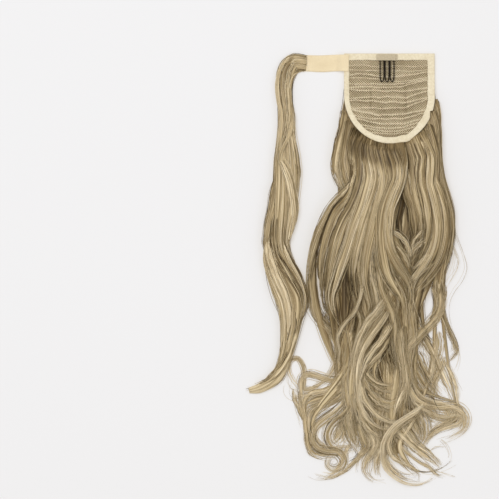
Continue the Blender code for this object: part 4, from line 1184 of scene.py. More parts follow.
# Flyaways: thin loose hairs that stand off the mass, by height in metres, number of hairs, and way.
flyaways = (
    (0.010, 3, (446, 214), (452, 228), (458, 243), (463, 257), (465, 269), (460, 281), (453, 290), (448, 301),
     (447, 314), (450, 328), (455, 341)),
    (0.008, 4, (449, 236), (455, 250), (458, 262), (454, 274), (447, 286), (444, 298)),
    (0.009, 3, (451, 246), (452, 260), (449, 273), (445, 286)),
    (0.012, 4, (341, 130), (337, 142), (333, 154), (331, 165), (333, 176), (338, 187)),
    (0.010, 3, (340, 138), (334, 150), (330, 162), (331, 174), (335, 186)),
    (0.004, 3, (296, 392), (291, 387), (289, 378), (292, 368)),
    (0.003, 3, (300, 400), (293, 399), (288, 392), (290, 384)),
    (0.003, 4, (296, 396), (296, 408), (300, 420), (305, 432)),
    (0.004, 3, (447, 364), (453, 376), (457, 388), (459, 400)),
    (0.004, 3, (455, 344), (459, 354), (458, 365), (455, 374)),
    (0.003, 3, (440, 440), (447, 447), (449, 456), (444, 464)),
    (0.003, 3, (430, 452), (437, 447), (446, 446)),
    (0.003, 3, (424, 462), (433, 469), (443, 473), (456, 477)),
    (0.003, 3, (360, 458), (352, 467), (343, 473), (332, 477), (318, 479), (306, 474)),
    (0.003, 3, (372, 458), (369, 468), (371, 477), (379, 481), (388, 482)),
    (0.003, 4, (389, 462), (397, 470), (408, 474), (420, 473)),
    (0.003, 3, (345, 449), (347, 458), (342, 466)),
)

# stationY in words: the stations lie at even steps down the page
def stationY(places):
    step = (hair["lastStation"] - hair["firstStation"]) / (len(bodySections) - 1)
    return -hair["length"] * (hair["firstStation"] + places * step)


# hairDepth in words: the depth at the stations, straight between them
def hairDepth(y):
    stations = -stationY(np.arange(len(bodySections)))
    shares = np.array(bodySections)[:, 2]
    return hair["depth"] * np.interp(-y, stations, shares, right=hair["tipShare"])


# lieOfHair in words: a half ellipse across the body, 1 in its middle and 0 beside it
def lieOfHair(x, y):
    stations = -stationY(np.arange(len(bodySections)))
    edges = np.array(bodySections)[:, :2] * hair["spread"]
    left, right = (np.interp(-y, stations, edges[:, side]) for side in (0, 1))
    off = np.abs(x - (left + right) / 2) / ((right - left) / 2 + hair["lockWidth"])
    return np.sqrt(1 - np.minimum(off, 1) ** 2)


# lockLine in words: the route through its stations, then arcs that each turn by an angle over a run
def lockLine(level, first, route, curls):
    places = np.linspace(0, len(route) - 1, (len(route) - 1) * hair["routeSteps"] + 1)
    x = smoothRoute(np.array(route) * hair["spread"], places)
    y = stationY(first + places)
    start = hair["lockWidth"] * (0.25 + 0.3 * abs(math.sin(90 * sum(route))))
    above = -base["tapeWidth"] - 2 * seamGap - start if first == 0 else y[0] + start
    x = np.concatenate([hair["rootTuck"] * x[:1] if first == 0 else x[:1], x])
    y = np.concatenate([[above], y])
    heading = math.atan2(x[-1] - x[-2], y[-2] - y[-1])
    for turn, run in curls:
        steps = max(8, round(abs(turn) / 5))
        angles = heading + math.radians(turn) * (np.arange(steps) + 0.5) / steps
        stride = run * hair["spread"] / steps
        x = np.concatenate([x, x[-1] + np.cumsum(stride * np.sin(angles))])
        y = np.concatenate([y, y[-1] - np.cumsum(stride * np.cos(angles))])
        heading += math.radians(turn)
    return np.stack([x, y, level * hairDepth(y) * lieOfHair(x, y)], axis=1)


# alongBends in words: the same line with its points closer together where it bends, and each
# point's share of the length
def alongBends(line, count):
    steps = np.diff(line[:, :2], axis=0)
    lengths = np.linalg.norm(steps, axis=1)
    headings = np.unwrap(np.arctan2(steps[:, 1], steps[:, 0]))
    bends = np.abs(np.diff(headings, prepend=headings[0]))
    pace = lengths / lengths.sum() + hair["bendWeight"] * bends / (bends.sum() + 1)
    run = np.concatenate([[0.0], np.cumsum(pace)])
    distance = np.concatenate([[0.0], np.cumsum(lengths)])
    marks = np.linspace(0, run[-1], count)
    placed = np.stack([np.interp(marks, run, column) for column in line.T], axis=1)
    return placed, np.interp(marks, run, distance) / distance[-1], bends.sum()


# lockGirth in words: full width at first, a tenth less by three quarters, then down to over a quarter
def lockGirth(share):
    return 1 - 0.10 * ease(share / 0.75) - 0.62 * ease((share - 0.70) / 0.30)


# underBase in words: the height is held below the base's underside, and freed outside its edge
def underBase(points, clearance):
    x, y, z = points[..., 0], points[..., 1], points[..., 2]
    free = 2.4 * np.maximum(outsideBase(x, y) - 0.0020, 0.0)
    roof = baseHeight(x, y) - bindingLook["outer"] - seamGap - clearance + free
    least = clearance + 0.0002
    z = np.minimum(z, np.maximum(roof, least))
    return np.stack([x, y, np.maximum(z, least)], axis=-1)


# growLock in words: strands spread round an oval section in fine clumps, the section carried along
# the line while it turns slowly, each clump with its own waves and its own end
def growLock(line, half, tall, count, seed, look):
    rng = np.random.default_rng(hair["seed"] * 1000 + seed)
    rings = look["rings"]
    clumps = look["clumps"]
    clumpAngle = 2 * math.pi * (np.arange(clumps) + rng.uniform(-0.4, 0.4, clumps)) / clumps
    clumpTone = rng.normal(0, 1, clumps)
    clumpOut = rng.uniform(0.86, 1.08, clumps)
    clumpEnd = rng.uniform(0.88, 1.02, clumps)
    clumpWave = rng.uniform(0, 2 * math.pi, (clumps, 2))
    clumpPace = rng.uniform(2.5, 6.0, (clumps, 1))
    clumpDrift = rng.normal(0, 1, (clumps, 2))
    member = rng.integers(0, clumps, count)
    angle = (clumpAngle[member] + rng.normal(0, 0.8 * math.pi / clumps, count)) % (2 * math.pi)
    angle = angle * look["arc"] - math.pi * (look["arc"] - 0.5)
    out = clumpOut[member] * (1 - 0.16 * rng.random(count) ** 2)
    out = out * (1 + look["frizz"] * (rng.random(count) < hair["frizzShare"]))
    begin = rng.uniform(0.0, look["rootSpread"], count)
    end = clumpEnd[member] - look["endSpread"] * rng.random(count) ** 2
    share = begin[:, None] + (end - begin)[:, None] * np.linspace(0, 1, rings)[None, :]
    middle = onLine(line, share)
    left = onLine(leftOf(line), np.minimum(share, 1))
    girth = np.stack([half, tall], axis=1)
    width = onLine(girth, np.minimum(share, 1.0))
    turned = angle[:, None] + look["twist"] * (share - 0.5)
    wave = np.sin(share * clumpPace[member] * 2 * math.pi + clumpWave[member, :1])
    wave2 = np.sin(share * clumpPace[member] * 3.1 * math.pi + clumpWave[member, 1:])
    own = rng.uniform(0, 2 * math.pi, (count, 2))
    ownPace = rng.uniform(4, 10, (count, 1))
    jitter = np.sin(share * ownPace * math.pi + own[:, :1])
    loose = np.maximum((share - hair["looseFrom"]) / (1 - hair["looseFrom"]), 0) ** 2
    tuck = 1 - 0.25 * loose
    across = out[:, None] * np.cos(turned) * width[..., 0] * tuck
    up = out[:, None] * np.sin(turned) * width[..., 1] * tuck
    across = across + look["wave"] * wave + look["jitter"] * jitter
    up = up + look["wave"] * 0.4 * wave2
    across = across + look["drift"] * loose * clumpDrift[member, :1]
    up = up + look["drift"] * 0.4 * loose * clumpDrift[member, 1:]
    points = middle + left * across[..., None]
    points[..., 2] = middle[..., 2] + up
    taper = 1 - hair["tipTaper"] * np.linspace(0, 1, rings)[None, :] ** 3
    radius = look["radius"] * rng.uniform(0.7, 1.2, count)[:, None] * taper
    tone = look["tone"] + hair["clumpTone"] * clumpTone[member][:, None]
    tone = tone + hair["strandTone"] * rng.normal(0, 1, count)[:, None]
    # painted shade and highlight: strands low in a lock's section darker, those on top lighter
    tone = tone + hair["paintedHeightShade"] * (np.clip(up / np.maximum(width[..., 1], 1e-4), -1, 1) - 0.6)
    return points, radius, np.broadcast_to(tone, radius.shape)


# stripMap in words: each tube's skin laid out flat, around it and along it
def stripMap(rings, sides):
    r, c = np.meshgrid(np.arange(rings - 1), np.arange(sides), indexing="ij")
    r, c = r.ravel(), c.ravel()
    around = np.stack([c, c + 1, c + 1, c], axis=1) / sides
    along = np.stack([r, r, r + 1, r + 1], axis=1) / (rings - 1)
    return np.stack([around, along], axis=-1)


# strandTubes in words: each strand's line as a closed tube with three sides. One map keeps the
# colours, a strip to each strand. The other is read by the streaks: across by chance, along in metres.
def strandTubes(sets):
    rng = np.random.default_rng(hair["seed"] + 77)
    points, quads, caps, tones = [], [], [], []
    quadMaps, capMaps = {"OFBake": [], "lie": []}, {"OFBake": [], "lie": []}
    total = sum(len(part) for part, _, _ in sets)
    start, column = 0, 0
    for line, radius, tone in sets:
        count, rings = line.shape[:2]
        way = np.gradient(line, axis=1)
        way /= np.maximum(np.linalg.norm(way, axis=2), 1e-9)[..., None]
        left = np.stack([-way[..., 1], way[..., 0], np.zeros((count, rings))], axis=2)
        left /= np.maximum(np.linalg.norm(left, axis=2), 1e-6)[..., None]
        above = np.cross(way, left)
        angle = 2 * math.pi * (np.arange(3) + 0.75) / 3
        ring = (
            line[:, :, None]
            + left[:, :, None] * (radius[:, :, None, None] * np.cos(angle)[None, None, :, None])
            + above[:, :, None] * (radius[:, :, None, None] * np.sin(angle)[None, None, :, None])
        )
        points.append(ring.reshape(-1, 3))
        tones.append(np.repeat(tone.reshape(-1), 3))
        faces = gridQuads(rings, 3, closedColumns=True)
        shift = start + np.arange(count)[:, None, None] * rings * 3
        quads.append((faces[None] + shift).reshape(-1, 4))
        first = (start + np.arange(count) * rings * 3)[:, None]
        last = first + (rings - 1) * 3
        caps.append(np.concatenate([first + [2, 1, 0], last + [0, 1, 2]], axis=1).reshape(-1, 3))
        strip = stripMap(rings, 3)
        own = column + np.arange(count)[:, None, None]
        baked = np.stack([
            (own + 0.1 + 0.8 * strip[None, ..., 0]) / total,
            0.01 + 0.98 * np.broadcast_to(strip[None, ..., 1], (count, *strip.shape[:2])),
        ], axis=-1)
        length = np.linalg.norm(np.diff(line, axis=1), axis=2).sum(axis=1)[:, None, None]
        chance = rng.uniform(0, 4, (count, 1, 1))
        laid = np.stack([
            chance + np.zeros((count, *strip.shape[:2])), strip[None, ..., 1] * length
        ], axis=-1)
        quadMaps["OFBake"].append(baked.reshape(-1, 2))
        quadMaps["lie"].append(laid.reshape(-1, 2))
        u = (own[:, 0] + np.array([[0.1, 0.5, 0.9, 0.1, 0.5, 0.9]])) / total
        v = np.tile([[0.0, 0.008, 0.0, 1.0, 0.992, 1.0]], (count, 1))
        capMaps["OFBake"].append(np.stack([u, v], axis=-1).reshape(-1, 2))
        along = np.concatenate([np.zeros((count, 3)), np.repeat(length[:, 0], 3, axis=1)], axis=1)
        capMaps["lie"].append(np.stack([np.repeat(chance[:, 0], 6, axis=1), along], axis=-1).reshape(-1, 2))
        start += count * rings * 3
        column += count
    maps = {name: np.concatenate(quadMaps[name] + capMaps[name]) for name in quadMaps}
    return np.concatenate(points), np.concatenate(quads), np.concatenate(caps), maps, np.concatenate(tones)


# hairMaterial in words: the stored tone with fine and broad streaks along each strand, read as a
# colour between dark and light
def hairMaterial(name):
    finish = Finish(name, 0.42, specular=0.24)
    tone = finish.node("Attribute", {"attribute_name": "tone"}, output="Fac")
    lie = finish.node("UVMap", {"uv_map": "lie"})
    fine = finish.noise(finish.stretched(lie, (700.0, 9.0, 1.0)), 1.0, 3.0, 0.6)
    broad = finish.noise(finish.stretched(lie, (230.0, 6.0, 1.0)), 1.0, 2.0)
    level = tone + (fine - 0.5) * hair["fineStreak"] + (broad - 0.5) * hair["broadStreak"]
    colour = finish.node("ValToRGB", {"stops": hair["colours"]}, {0: level.held()})
    return finish.wear(colour, roughness=fine * 0.2 + 0.32, height=fine, depth=0.0006, strength=0.35)


# pocketShade in words: painted shade, dark just right of a line and less so further right, fading at both its
# ends
def pocketShade(x, y):
    shade = 0.0
    for start, end, width, dark in hair["pockets"]:
        first, last = framePoint([start, end])
        run = last - first
        length = np.linalg.norm(run)
        along = ((x - first[0]) * run[0] + (y - first[1]) * run[1]) / length ** 2
        side = ((y - first[1]) * run[0] - (x - first[0]) * run[1]) / length
        reach = ease(along / 0.3) * (1 - ease((along - 0.85) / 0.3))
        shade = shade + dark * reach * ease(side / 0.0015) * np.exp(-((side / width) ** 2))
    return shade


# shaded in words: darker and more even just past the base, painted shade where the hair is closed in under
# its edge, most so in its middle and left; lighter at the far ends, painted light where the hair lies thin;
# and dark in the pockets, painted shade
def shaded(points, tone):
    x, y = points[..., 0], points[..., 1]
    # painted shade where the hair comes out from under the base's edge
    near = 1 - ramp(outsideBase(x, y), *hair["rootShadeReach"])
    inner = 1 - ramp(np.abs(x - hair["rootShadeMiddle"]), *hair["rootShadeSides"])
    paintedRootShade = near * (0.25 + 0.75 * inner)
    # painted light at the thin far ends, less the painted shade of the pockets
    paintedLightAndShade = hair["endPaintedLight"] * ramp(-y, *hair["endPaintedLightReach"]) - pocketShade(x, y)
    return tone * (1 - hair["rootShadeEvening"] * paintedRootShade) + hair["rootShadeTone"] * paintedRootShade + paintedLightAndShade


# lockCore in words: an oval section with fine ribs, carried along the line and turned slowly
def lockCore(line, half, tall, sides, ribs, seed, tone):
    rings = len(line)
    left = leftOf(line)
    angle = 2 * math.pi * np.arange(sides) / sides
    turn = angle[None, :] + np.linspace(0, 1.5, rings)[:, None]
    rib = hair["coreSize"] * (1 + 0.08 * np.cos(ribs * turn + seed))
    across, up = half[:, None] * rib * np.cos(angle), tall[:, None] * rib * np.sin(angle)
    points = line[:, None] + left[:, None] * across[..., None]
    points[..., 2] = line[:, None, 2] + up
    return closedTube(underBase(points, hair["coreRoom"]), tone, seed)


# closedTube in words: rings of points joined into a skin, with a fan of faces over each end
def closedTube(points, tone, seed):
    rings, sides = points.shape[:2]
    flat = points.reshape(-1, 3)
    ends = np.stack([points[0].mean(axis=0), points[-1].mean(axis=0)])
    skin = np.concatenate([flat, ends])
    girth = np.linalg.norm(np.diff(points, axis=1), axis=2).sum(axis=1).mean()
    length = np.linalg.norm(np.diff(points.mean(axis=1), axis=0), axis=1).sum()
    strip = stripMap(rings, sides)
    side = np.arange(sides)
    near = np.stack([(side + 1) / sides, side / sides, (side + 0.5) / sides], axis=1)
    capStrip = np.concatenate([
        np.stack([near, np.tile([0.004, 0.004, 0.0], (sides, 1))], axis=-1),
        np.stack([near[:, [1, 0, 2]], np.tile([0.996, 0.996, 1.0], (sides, 1))], axis=-1),
    ])
    scale = np.array([girth, length])
    shift = np.array([seed * 0.37, 0.0])
    return {
        "points": skin,
        "quads": gridQuads(rings, sides, closedColumns=True),
        "caps": fans(rings, sides),
        "tone": shaded(skin, tone),
        "strips": (strip, capStrip),
        "laid": (strip * scale + shift, capStrip * scale + shift),
    }


# addTubes in words: many closed tubes as one piece in place of a node of the part, each with its own
# strip of the colour map
def addTubes(name, tubes, material, node):
    start = 0
    quads, caps = [], []
    for tubePart in tubes:
        quads.append(tubePart["quads"] + start)
        caps.append(tubePart["caps"] + start)
        start += len(tubePart["points"])
    strips = []
    for kind in (0, 1):
        for number, tubePart in enumerate(tubes):
            strip = tubePart["strips"][kind]
            u = (number + 0.04 + 0.92 * strip[..., 0]) / len(tubes)
            strips.append(np.stack([u, 0.005 + 0.99 * strip[..., 1]], axis=-1).reshape(-1, 2))
    laid = [tubePart["laid"][kind].reshape(-1, 2) for kind in (0, 1) for tubePart in tubes]
    maps = {"OFBake": np.concatenate(strips), "lie": np.concatenate(laid)}
    points = np.concatenate([tubePart["points"] for tubePart in tubes])
    tone = np.concatenate([tubePart["tone"] for tubePart in tubes])
    quads, caps = np.concatenate(quads), np.concatenate(caps)
    print(name, 2 * len(quads) + len(caps), "triangles")
    piece = addPiece(name, points, quads, caps, material, tone, maps)
    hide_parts(node)


# bodyGrid in words: a flattened oval section at each height, between the body's two edges
def bodyGrid(rings, sides, size):
    places = np.linspace(0, len(bodySections) - 1, rings)
    sections = smoothRoute(bodySections, places)
    angle = 2 * math.pi * np.arange(sides) / sides
    across = np.sign(np.cos(angle)) * np.abs(np.cos(angle)) ** 0.7 * size
    up = np.sign(np.sin(angle)) * np.abs(np.sin(angle)) ** 0.6 * size
    middle = (sections[:, 0] + sections[:, 1]) / 2 * hair["spread"]
    half = (sections[:, 1] - sections[:, 0]) / 2 * hair["spread"]
    x = middle[:, None] + half[:, None] * across
    y = np.repeat(stationY(places)[:, None], sides, axis=1)
    z = hair["bodyShare"] * hair["depth"] * sections[:, 2:3] * np.maximum(up, 0.02)
    return np.stack([x, y, z], axis=2)


# tracedWay in words: a smooth way on the floor through points in pixels, with twelve steps to each
def tracedWay(way):
    spots = framePoint(way)
    return smoothRoute(spots, np.linspace(0, len(spots) - 1, (len(spots) - 1) * 12 + 1))


# tressLine in words: a smooth way through its points, at a share of the hair's depth, which sinks
# into the hair at its start and its end
def tressLine(level, way, sunk):
    line = tracedWay(way)
    share = np.linspace(0, 1, len(line))
    rise = 1 - 0.30 * sunk * (1 - ease(share / 0.16)) - 0.22 * ease((share - 0.80) / 0.20)
    x, y = line[:, 0], line[:, 1]
    z = level * rise * (hairDepth(y) * lieOfHair(x, y) + hair["overFloor"])
    return np.stack([x, y, z], axis=1)


# How full of strands each group of tresses is, and how much lighter.
groupFill = {"crown": 1.1, "fans": 0.70, "others": 1.15}
groupTone = {"crown": -0.06, "fans": -0.12, "swirl": 0.0, "others": 0.03}

# How each kind of lock grows: how unevenly its strands start and end, the turn of its section along
# the way, the size in metres of its waves, its jitter and its drifting ends, half a strand's width,
# the share of the section that strands cover, how far its frizzy strands stand out, and for tresses
# their breadth, their thickness as a share of it, and how wide the strands fan out round the core.
# the under locks' tone is darker than the tresses' above them: painted shade
underLook = {
    "clumps": 14, "rootSpread": 0.03, "endSpread": 0.24, "twist": 1.2, "wave": 0.0005,
    "jitter": 0.0003, "drift": 0.0030, "radius": hair["strandWidth"] * 1.1, "tone": 0.40,
    "arc": 1.0, "frizz": 0.3,
}
tressLook = {
    "rootSpread": 0.10, "endSpread": 0.34, "twist": 0.5, "wave": 0.0004, "jitter": 0.00028,
    "drift": 0.0034, "radius": hair["strandWidth"] * hair["looseStrand"], "arc": 0.70, "frizz": 0.7,
    "breadth": 0.92, "thickness": 0.5, "fan": hair["looseSpread"],
}
crownLook = {
    **tressLook, "rootSpread": 0.01, "radius": hair["strandWidth"], "frizz": 0.15,
    "breadth": 1.2, "thickness": 0.36, "fan": 1.0,
}


# ringsFor in words: more rings along a strand whose lock bends more
def ringsFor(bends):
    return int(hair["leastRings"] + min(bends, hair["mostBend"]) * hair["ringsPerBend"])


# growShaded in words: a lock's strands, kept under the base and shaded by where they lie
def growShaded(line, half, tall, count, seed, look):
    points, radius, tone = growLock(line, half, tall, count, seed, look)
    points = underBase(points, hair["strandRoom"])
    return points, radius, shaded(points, tone)


# growUnder in words: the locks of the part, thinner in their curls and low on the right, with a core
# in each that narrows to a tenth before the lock's end
def growUnder(cores):
    parts, few = [], hair["coreRings"]
    for number, (level, width, first, route, curls) in enumerate(locks.values()):
        raw = lockLine(level, first, route, curls)
        line, share, bends = alongBends(raw, hair["linePoints"])
        bend = raw[(len(route) - 1) * hair["routeSteps"] + 1]
        off = np.abs(line[:, 0] - bend[0]) + np.abs(line[:, 1] - bend[1])
        curled = ease((share - share[np.argmin(off)] + 0.06) / 0.12)
        low = ease((line[:, 0] - 0.026) / 0.010) * ease((-line[:, 1] - 0.270) / 0.020)
        half = hair["lockWidth"] * width * lockGirth(share) / 2
        half = half * (1 - hair["curlThinning"] * curled)
        half = half * (1 - hair["rightThinning"] * low)
        tall = half * hair["flatness"]
        line[:, 2] = np.maximum(line[:, 2] * 0.90, tall * 0.8)
        twist = underLook["twist"] * (1 if number % 2 else -1)
        look = {**underLook, "rings": ringsFor(bends), "twist": twist}
        count = int(hair["strandsUnder"] * (0.4 + 0.6 * width))
        parts.append(growShaded(line, half * 1.05, tall, count, number, look))
        point = 1 - 0.9 * ease((share - 0.62) / 0.32)
        size = (half * point)[few], (tall * point)[few]
        # the core's dark tone is painted shade under the lock's strands
        cores.append(lockCore(line[few], *size, hair["underSides"], 7, number, 0.32))
    return parts


# growTresses in words: the traced tresses of one group, each with a core that narrows towards its
# ends; those below the crown start and end thin
def growTresses(place, number, cores):
    parts, few = [], hair["coreRings"]
    crown = place == "crown"
    kind = crownLook if crown else tressLook
    fill = groupFill.get(place, groupFill["others"])
    for level, shade, wide, *way in tresses[place]:
        shade += groupTone.get(place, groupTone["others"])
        line, share, bends = alongBends(tressLine(level, way, not crown), hair["linePoints"])
        narrow = 1 - 0.12 * ease(share / 0.6) - 0.60 * ease((share - 0.60) / 0.40)
        if not crown:
            narrow = narrow * (0.3 + 0.7 * ease(share / 0.16))
        half = wide * pixel / 2 * narrow * kind["breadth"]
        tall = np.minimum(half * kind["thickness"], hair["mostTall"])
        line[:, 2] = np.maximum(line[:, 2], tall * 0.8)
        look = {**kind, "rings": ringsFor(bends), "tone": shade}
        look["clumps"] = max(4, round(wide * 1.1))
        look["twist"] *= 1 if number % 2 else -1
        count = int(5 + hair["strandsAPixel"] * wide * fill)
        parts.append(growShaded(line, half * kind["fan"], tall * kind["fan"], count, number, look))
        point = 1 - 0.92 * ease((share - 0.52) / 0.36)
        if not crown:
            point = point * hair["looseCore"]
            point = point * (0.1 + 0.9 * ease(share / 0.2))
        size = (half * point)[few], (tall * point)[few]
        # the core a little darker than its strands: painted shade
        cores.append(lockCore(line[few], *size, hair["tressSides"], 5, number, shade - 0.06))
        number += 1
    return parts


# addStrands in words: sets of strands as one piece, in place of a node of the part
def addStrands(name, sets, material, node):
    points, quads, caps, maps, tone = strandTubes(sets)
    print(name, 2 * len(quads) + len(caps), "triangles")
    piece = addPiece(name, points, quads, caps, material, tone, maps)
    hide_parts(node)


def makeHair():
    material = hairMaterial("hair_strands")
    cores, groups = [], {}
    groups["under"] = growUnder(cores)
    number = 101
    for place, rows in tresses.items():
        groups[place] = growTresses(place, number, cores)
        number += len(rows)
    # the body under all the locks, in a dark tone: painted shade in the gaps between them
    body = underBase(bodyGrid(60, 56, 0.90), hair["bodyRoom"])
    cores.append(closedTube(body, 0.20, 3))
    addTubes("hair_cores", cores, material, "ponytail_hair")
    groups["body"] = [growBody()]
    groups["loose"] = [growFlyaways()]
    for place, sets in groups.items():
        addStrands("hair_" + place, sets, material, "ponytail_hair")


# growFlyaways in words: a few hairs side by side along each loose way, each with its own bow, and
# stray hairs that leave the tresses below the crown sideways
def growFlyaways():
    rng = np.random.default_rng(hair["seed"] + 5)
    lines = []
    share = np.linspace(0, 1, hair["looseRings"])
    for height, count, *way in flyaways:
        spots = framePoint(way)
        line = smoothRoute(spots, np.linspace(0, len(spots) - 1, hair["linePoints"]))
        line = np.concatenate([line, np.full((len(line), 1), height)], axis=1)
        left = leftOf(line)
        for _ in range(count):
            end = rng.uniform(0.72, 1.0)
            at = onLine(line, share * end)
            off = rng.normal(0, 0.0012) + rng.normal(0, 0.0022) * share**1.5
            off = off + 0.0005 * np.sin(share * rng.uniform(6, 12) + rng.uniform(0, 6))
            at = at + onLine(left, share * end) * off[:, None]
            at[:, 2] = np.maximum(at[:, 2] * (1 - 0.5 * share) + rng.normal(0, 0.001), hair["strandRoom"])
            lines.append(at)
    for place in ("left", "middle", "right", "leftEnds", "rightEnds", "tail"):
        for level, _, wide, *way in tresses[place]:
            line, _, _ = alongBends(tressLine(level, way, True), hair["linePoints"])
            left = leftOf(line)
            for _ in range(hair["strays"]):
                begin, end = rng.uniform(0.1, 0.35), rng.uniform(0.8, 1.0)
                part = begin + (end - begin) * share
                side = rng.choice([-1, 1]) * (0.4 + rng.uniform(0.2, 1.0) * share) * wide * pixel / 2
                at = onLine(line, part) + onLine(left, part) * side[:, None]
                at[:, 2] = np.maximum(at[:, 2] + 0.0006, hair["strandRoom"])
                lines.append(at)
    points = underBase(np.stack(lines), hair["looseRoom"])
    taper = (1 - 0.5 * share**2)[None, :]
    radius = hair["looseWidth"] * rng.uniform(0.8, 1.2, (len(points), 1)) * taper
    tone = 0.62 + 0.16 * rng.normal(0, 1, (len(points), 1)) + np.zeros_like(radius)
    return points, radius, tone


# growBody in words: strands down the body's upper skin at even angles, waved a little
def growBody():
    rng = np.random.default_rng(hair["seed"])
    count, rings = hair["bodyStrands"], hair["bodyRings"]
    rows, columns = hair["bodyGrid"]
    grid = bodyGrid(rows, columns, 0.98)
    angle = np.sort(rng.uniform(-0.15, 0.5 + 0.15, count)) % 1.0
    share = np.linspace(0, 1, rings)[None, :] * rng.uniform(0.9, 1.0, count)[:, None]
    sway = angle[:, None] + 0.012 * np.sin(share * 14 + rng.uniform(0, 6, (count, 1)))
    row = np.clip(share * (rows - 1), 0, rows - 1.01)
    column = (sway % 1.0) * columns
    above, left = row.astype(int), column.astype(int) % columns
    part, beside = (row - above)[..., None], (column - column.astype(int))[..., None]
    right = (left + 1) % columns
    points = (
        grid[above, left] * (1 - part) * (1 - beside) + grid[above + 1, left] * part * (1 - beside)
        + grid[above, right] * (1 - part) * beside + grid[above + 1, right] * part * beside
    )
    points = underBase(points, hair["strandRoom"])
    radius = hair["strandWidth"] * rng.uniform(0.8, 1.2, count)[:, None] * np.ones((1, rings))
    # the body's strands darker than the locks above them: painted shade
    tone = shaded(points, 0.34 + 0.12 * rng.normal(0, 1, (count, 1)))
    return points, radius, tone


wrap = {
    "drop": 0.385,
    "width": 0.042,
    "depth": 0.0155,
    "lap": 0.003,
    "twist": 14.0 / 3,
    "strands": 46,
    "ropes": 3,  # locks that wind round each other
    "ropeReach": 0.44,  # from the middle line, in shares of the strand
    "ropeWidth": 0.58,
    "ropeDepth": 0.62,
    "linePoints": 200,
    "lockPoints": 120,
    "coreRings": slice(None, None, 2),
    "lockCoreRings": slice(None, 112, 3),
    "coreTone": 0.47,
    "middleTone": 0.46,
    "contrast": 0.80,  # of the crossing locks' light and dark
}

# The strand's sections from the strap's end: across, down, width and depth, in shares.
wrapSections = (
    (0.0, 0.0, 0.45, 0.30),
    (-0.043, -0.002, 0.50, 0.42),
    (-0.066, 0.044, 0.50, 0.55),
    (-0.065, 0.111, 0.46, 0.66),
    (-0.060, 0.202, 0.50, 0.76),
    (-0.062, 0.325, 0.76, 0.86),
    (-0.074, 0.438, 0.76, 0.88),
    (-0.091, 0.554, 0.76, 0.92),
    (-0.068, 0.646, 0.94, 1.0),
    (-0.046, 0.716, 0.94, 0.98),
    (-0.045, 0.790, 0.60, 0.88),
    (-0.059, 0.875, 0.42, 0.74),
    (-0.089, 0.952, 0.38, 0.62),
    (-0.138, 0.989, 0.32, 0.48),
    (-0.178, 1.0, 0.16, 0.30),
)


# Locks that cross on top of the strand, traced from its root: height in its thickness, tone, width
# in pixels of the frame, then the way in pixels.
wrapLocks = (
    (0.86, 0.66, 5, (303, 57), (296, 56), (288, 59), (282, 66), (279, 76), (278, 87), (279, 100), (281, 112),
     (281, 125), (280, 138), (278, 150), (276, 162), (275.5, 174), (275, 186), (273, 198), (271, 210)),
    (0.92, 0.30, 6, (303, 64), (296, 62), (290, 63), (286, 69), (283.5, 79), (283, 90), (284, 101),
     (285.5, 112), (286, 124), (284, 136)),
    (0.90, 0.46, 5, (303, 61), (295, 63), (289, 70), (287, 82), (287, 95), (288, 108), (288.5, 118),
     (286.5, 130), (283, 140), (281, 150), (280, 158)),
    (0.96, 0.66, 4, (303, 71), (297, 73), (292, 79), (289.5, 89), (289.5, 100), (290.5, 112), (291.5, 122),
     (290, 133), (286, 142), (282, 150), (280, 158), (281, 166), (285, 174), (289, 184), (292, 194)),
    (0.80, 0.50, 5, (292, 100), (293, 112), (292.5, 125), (292.5, 137), (295, 150), (297, 162), (298, 174),
     (297, 186), (295.5, 198), (295, 210)),
    (0.84, 0.26, 5, (288, 122), (289, 134), (291, 144), (293, 155), (295, 167), (295.5, 178), (296, 188)),
    (1.00, 0.78, 7, (279, 152), (280, 160), (284, 168), (288, 178), (291, 190), (293, 203), (293.5, 216),
     (291.5, 228), (289, 238), (287, 250)),
    (0.98, 0.64, 4, (282, 150), (285, 160), (289, 170), (292, 182), (295, 195), (296.5, 208), (295.5, 220),
     (292, 231)),
    (0.70, 0.08, 5, (274, 174), (275.5, 186), (277, 197), (279.5, 207), (281, 216), (282, 226), (283, 236)),
    (0.90, 0.48, 8, (277, 168), (275, 184), (273.5, 198), (271, 212), (268.5, 226), (267, 240), (268, 252),
     (272, 263), (278, 272)),
    (0.92, 0.40, 7, (280, 196), (277, 208), (276, 218), (275, 230), (275, 242), (277.5, 253), (282, 263),
     (288, 273), (293.5, 282), (299, 291), (302, 301), (301.5, 311), (298, 322)),
    (0.88, 0.46, 6, (284, 234), (283.5, 243), (286, 253), (290, 262), (295, 271), (299.5, 280), (303, 290),
     (304.5, 299), (303.5, 308), (300, 319), (295, 330), (291, 341)),
    (0.98, 0.10, 2.5, (269, 249), (275, 261), (282, 271), (289, 280), (295, 288), (299, 297), (300.5, 306),
     (299, 316), (296, 326)),
    (0.99, 0.12, 2, (274, 244), (279, 256), (286, 267), (293, 277), (299, 287), (303, 296)),
    (1.00, 0.86, 8, (271, 230), (268, 240), (268, 251), (271, 262), (275, 274), (279.5, 284), (284, 293),
     (287, 304), (288.5, 316), (288, 330), (286, 343)),
    (0.86, 0.76, 7, (269, 232), (266, 244), (266, 256), (268.5, 268), (272, 280), (276, 291), (280.5, 301),
     (283, 312), (284, 326), (283.5, 340), (282, 352), (278, 364), (272, 375)),
    (0.90, 0.52, 6, (299, 318), (296, 330), (292, 342), (289, 352), (284.5, 362), (278, 371), (270, 379),
     (261, 384), (250, 386)),
    (0.92, 0.40, 6, (289, 300), (292.5, 312), (293, 324), (291, 336), (288.5, 348), (284, 359), (277, 369)),
    (0.98, 0.10, 3, (289, 344), (286.5, 353), (282.5, 361), (277, 369), (271, 376), (263, 381)),
    (0.94, 0.60, 4, (286, 330), (287, 342), (285, 353), (280.5, 363), (274, 372), (265, 380), (255, 384)),
)


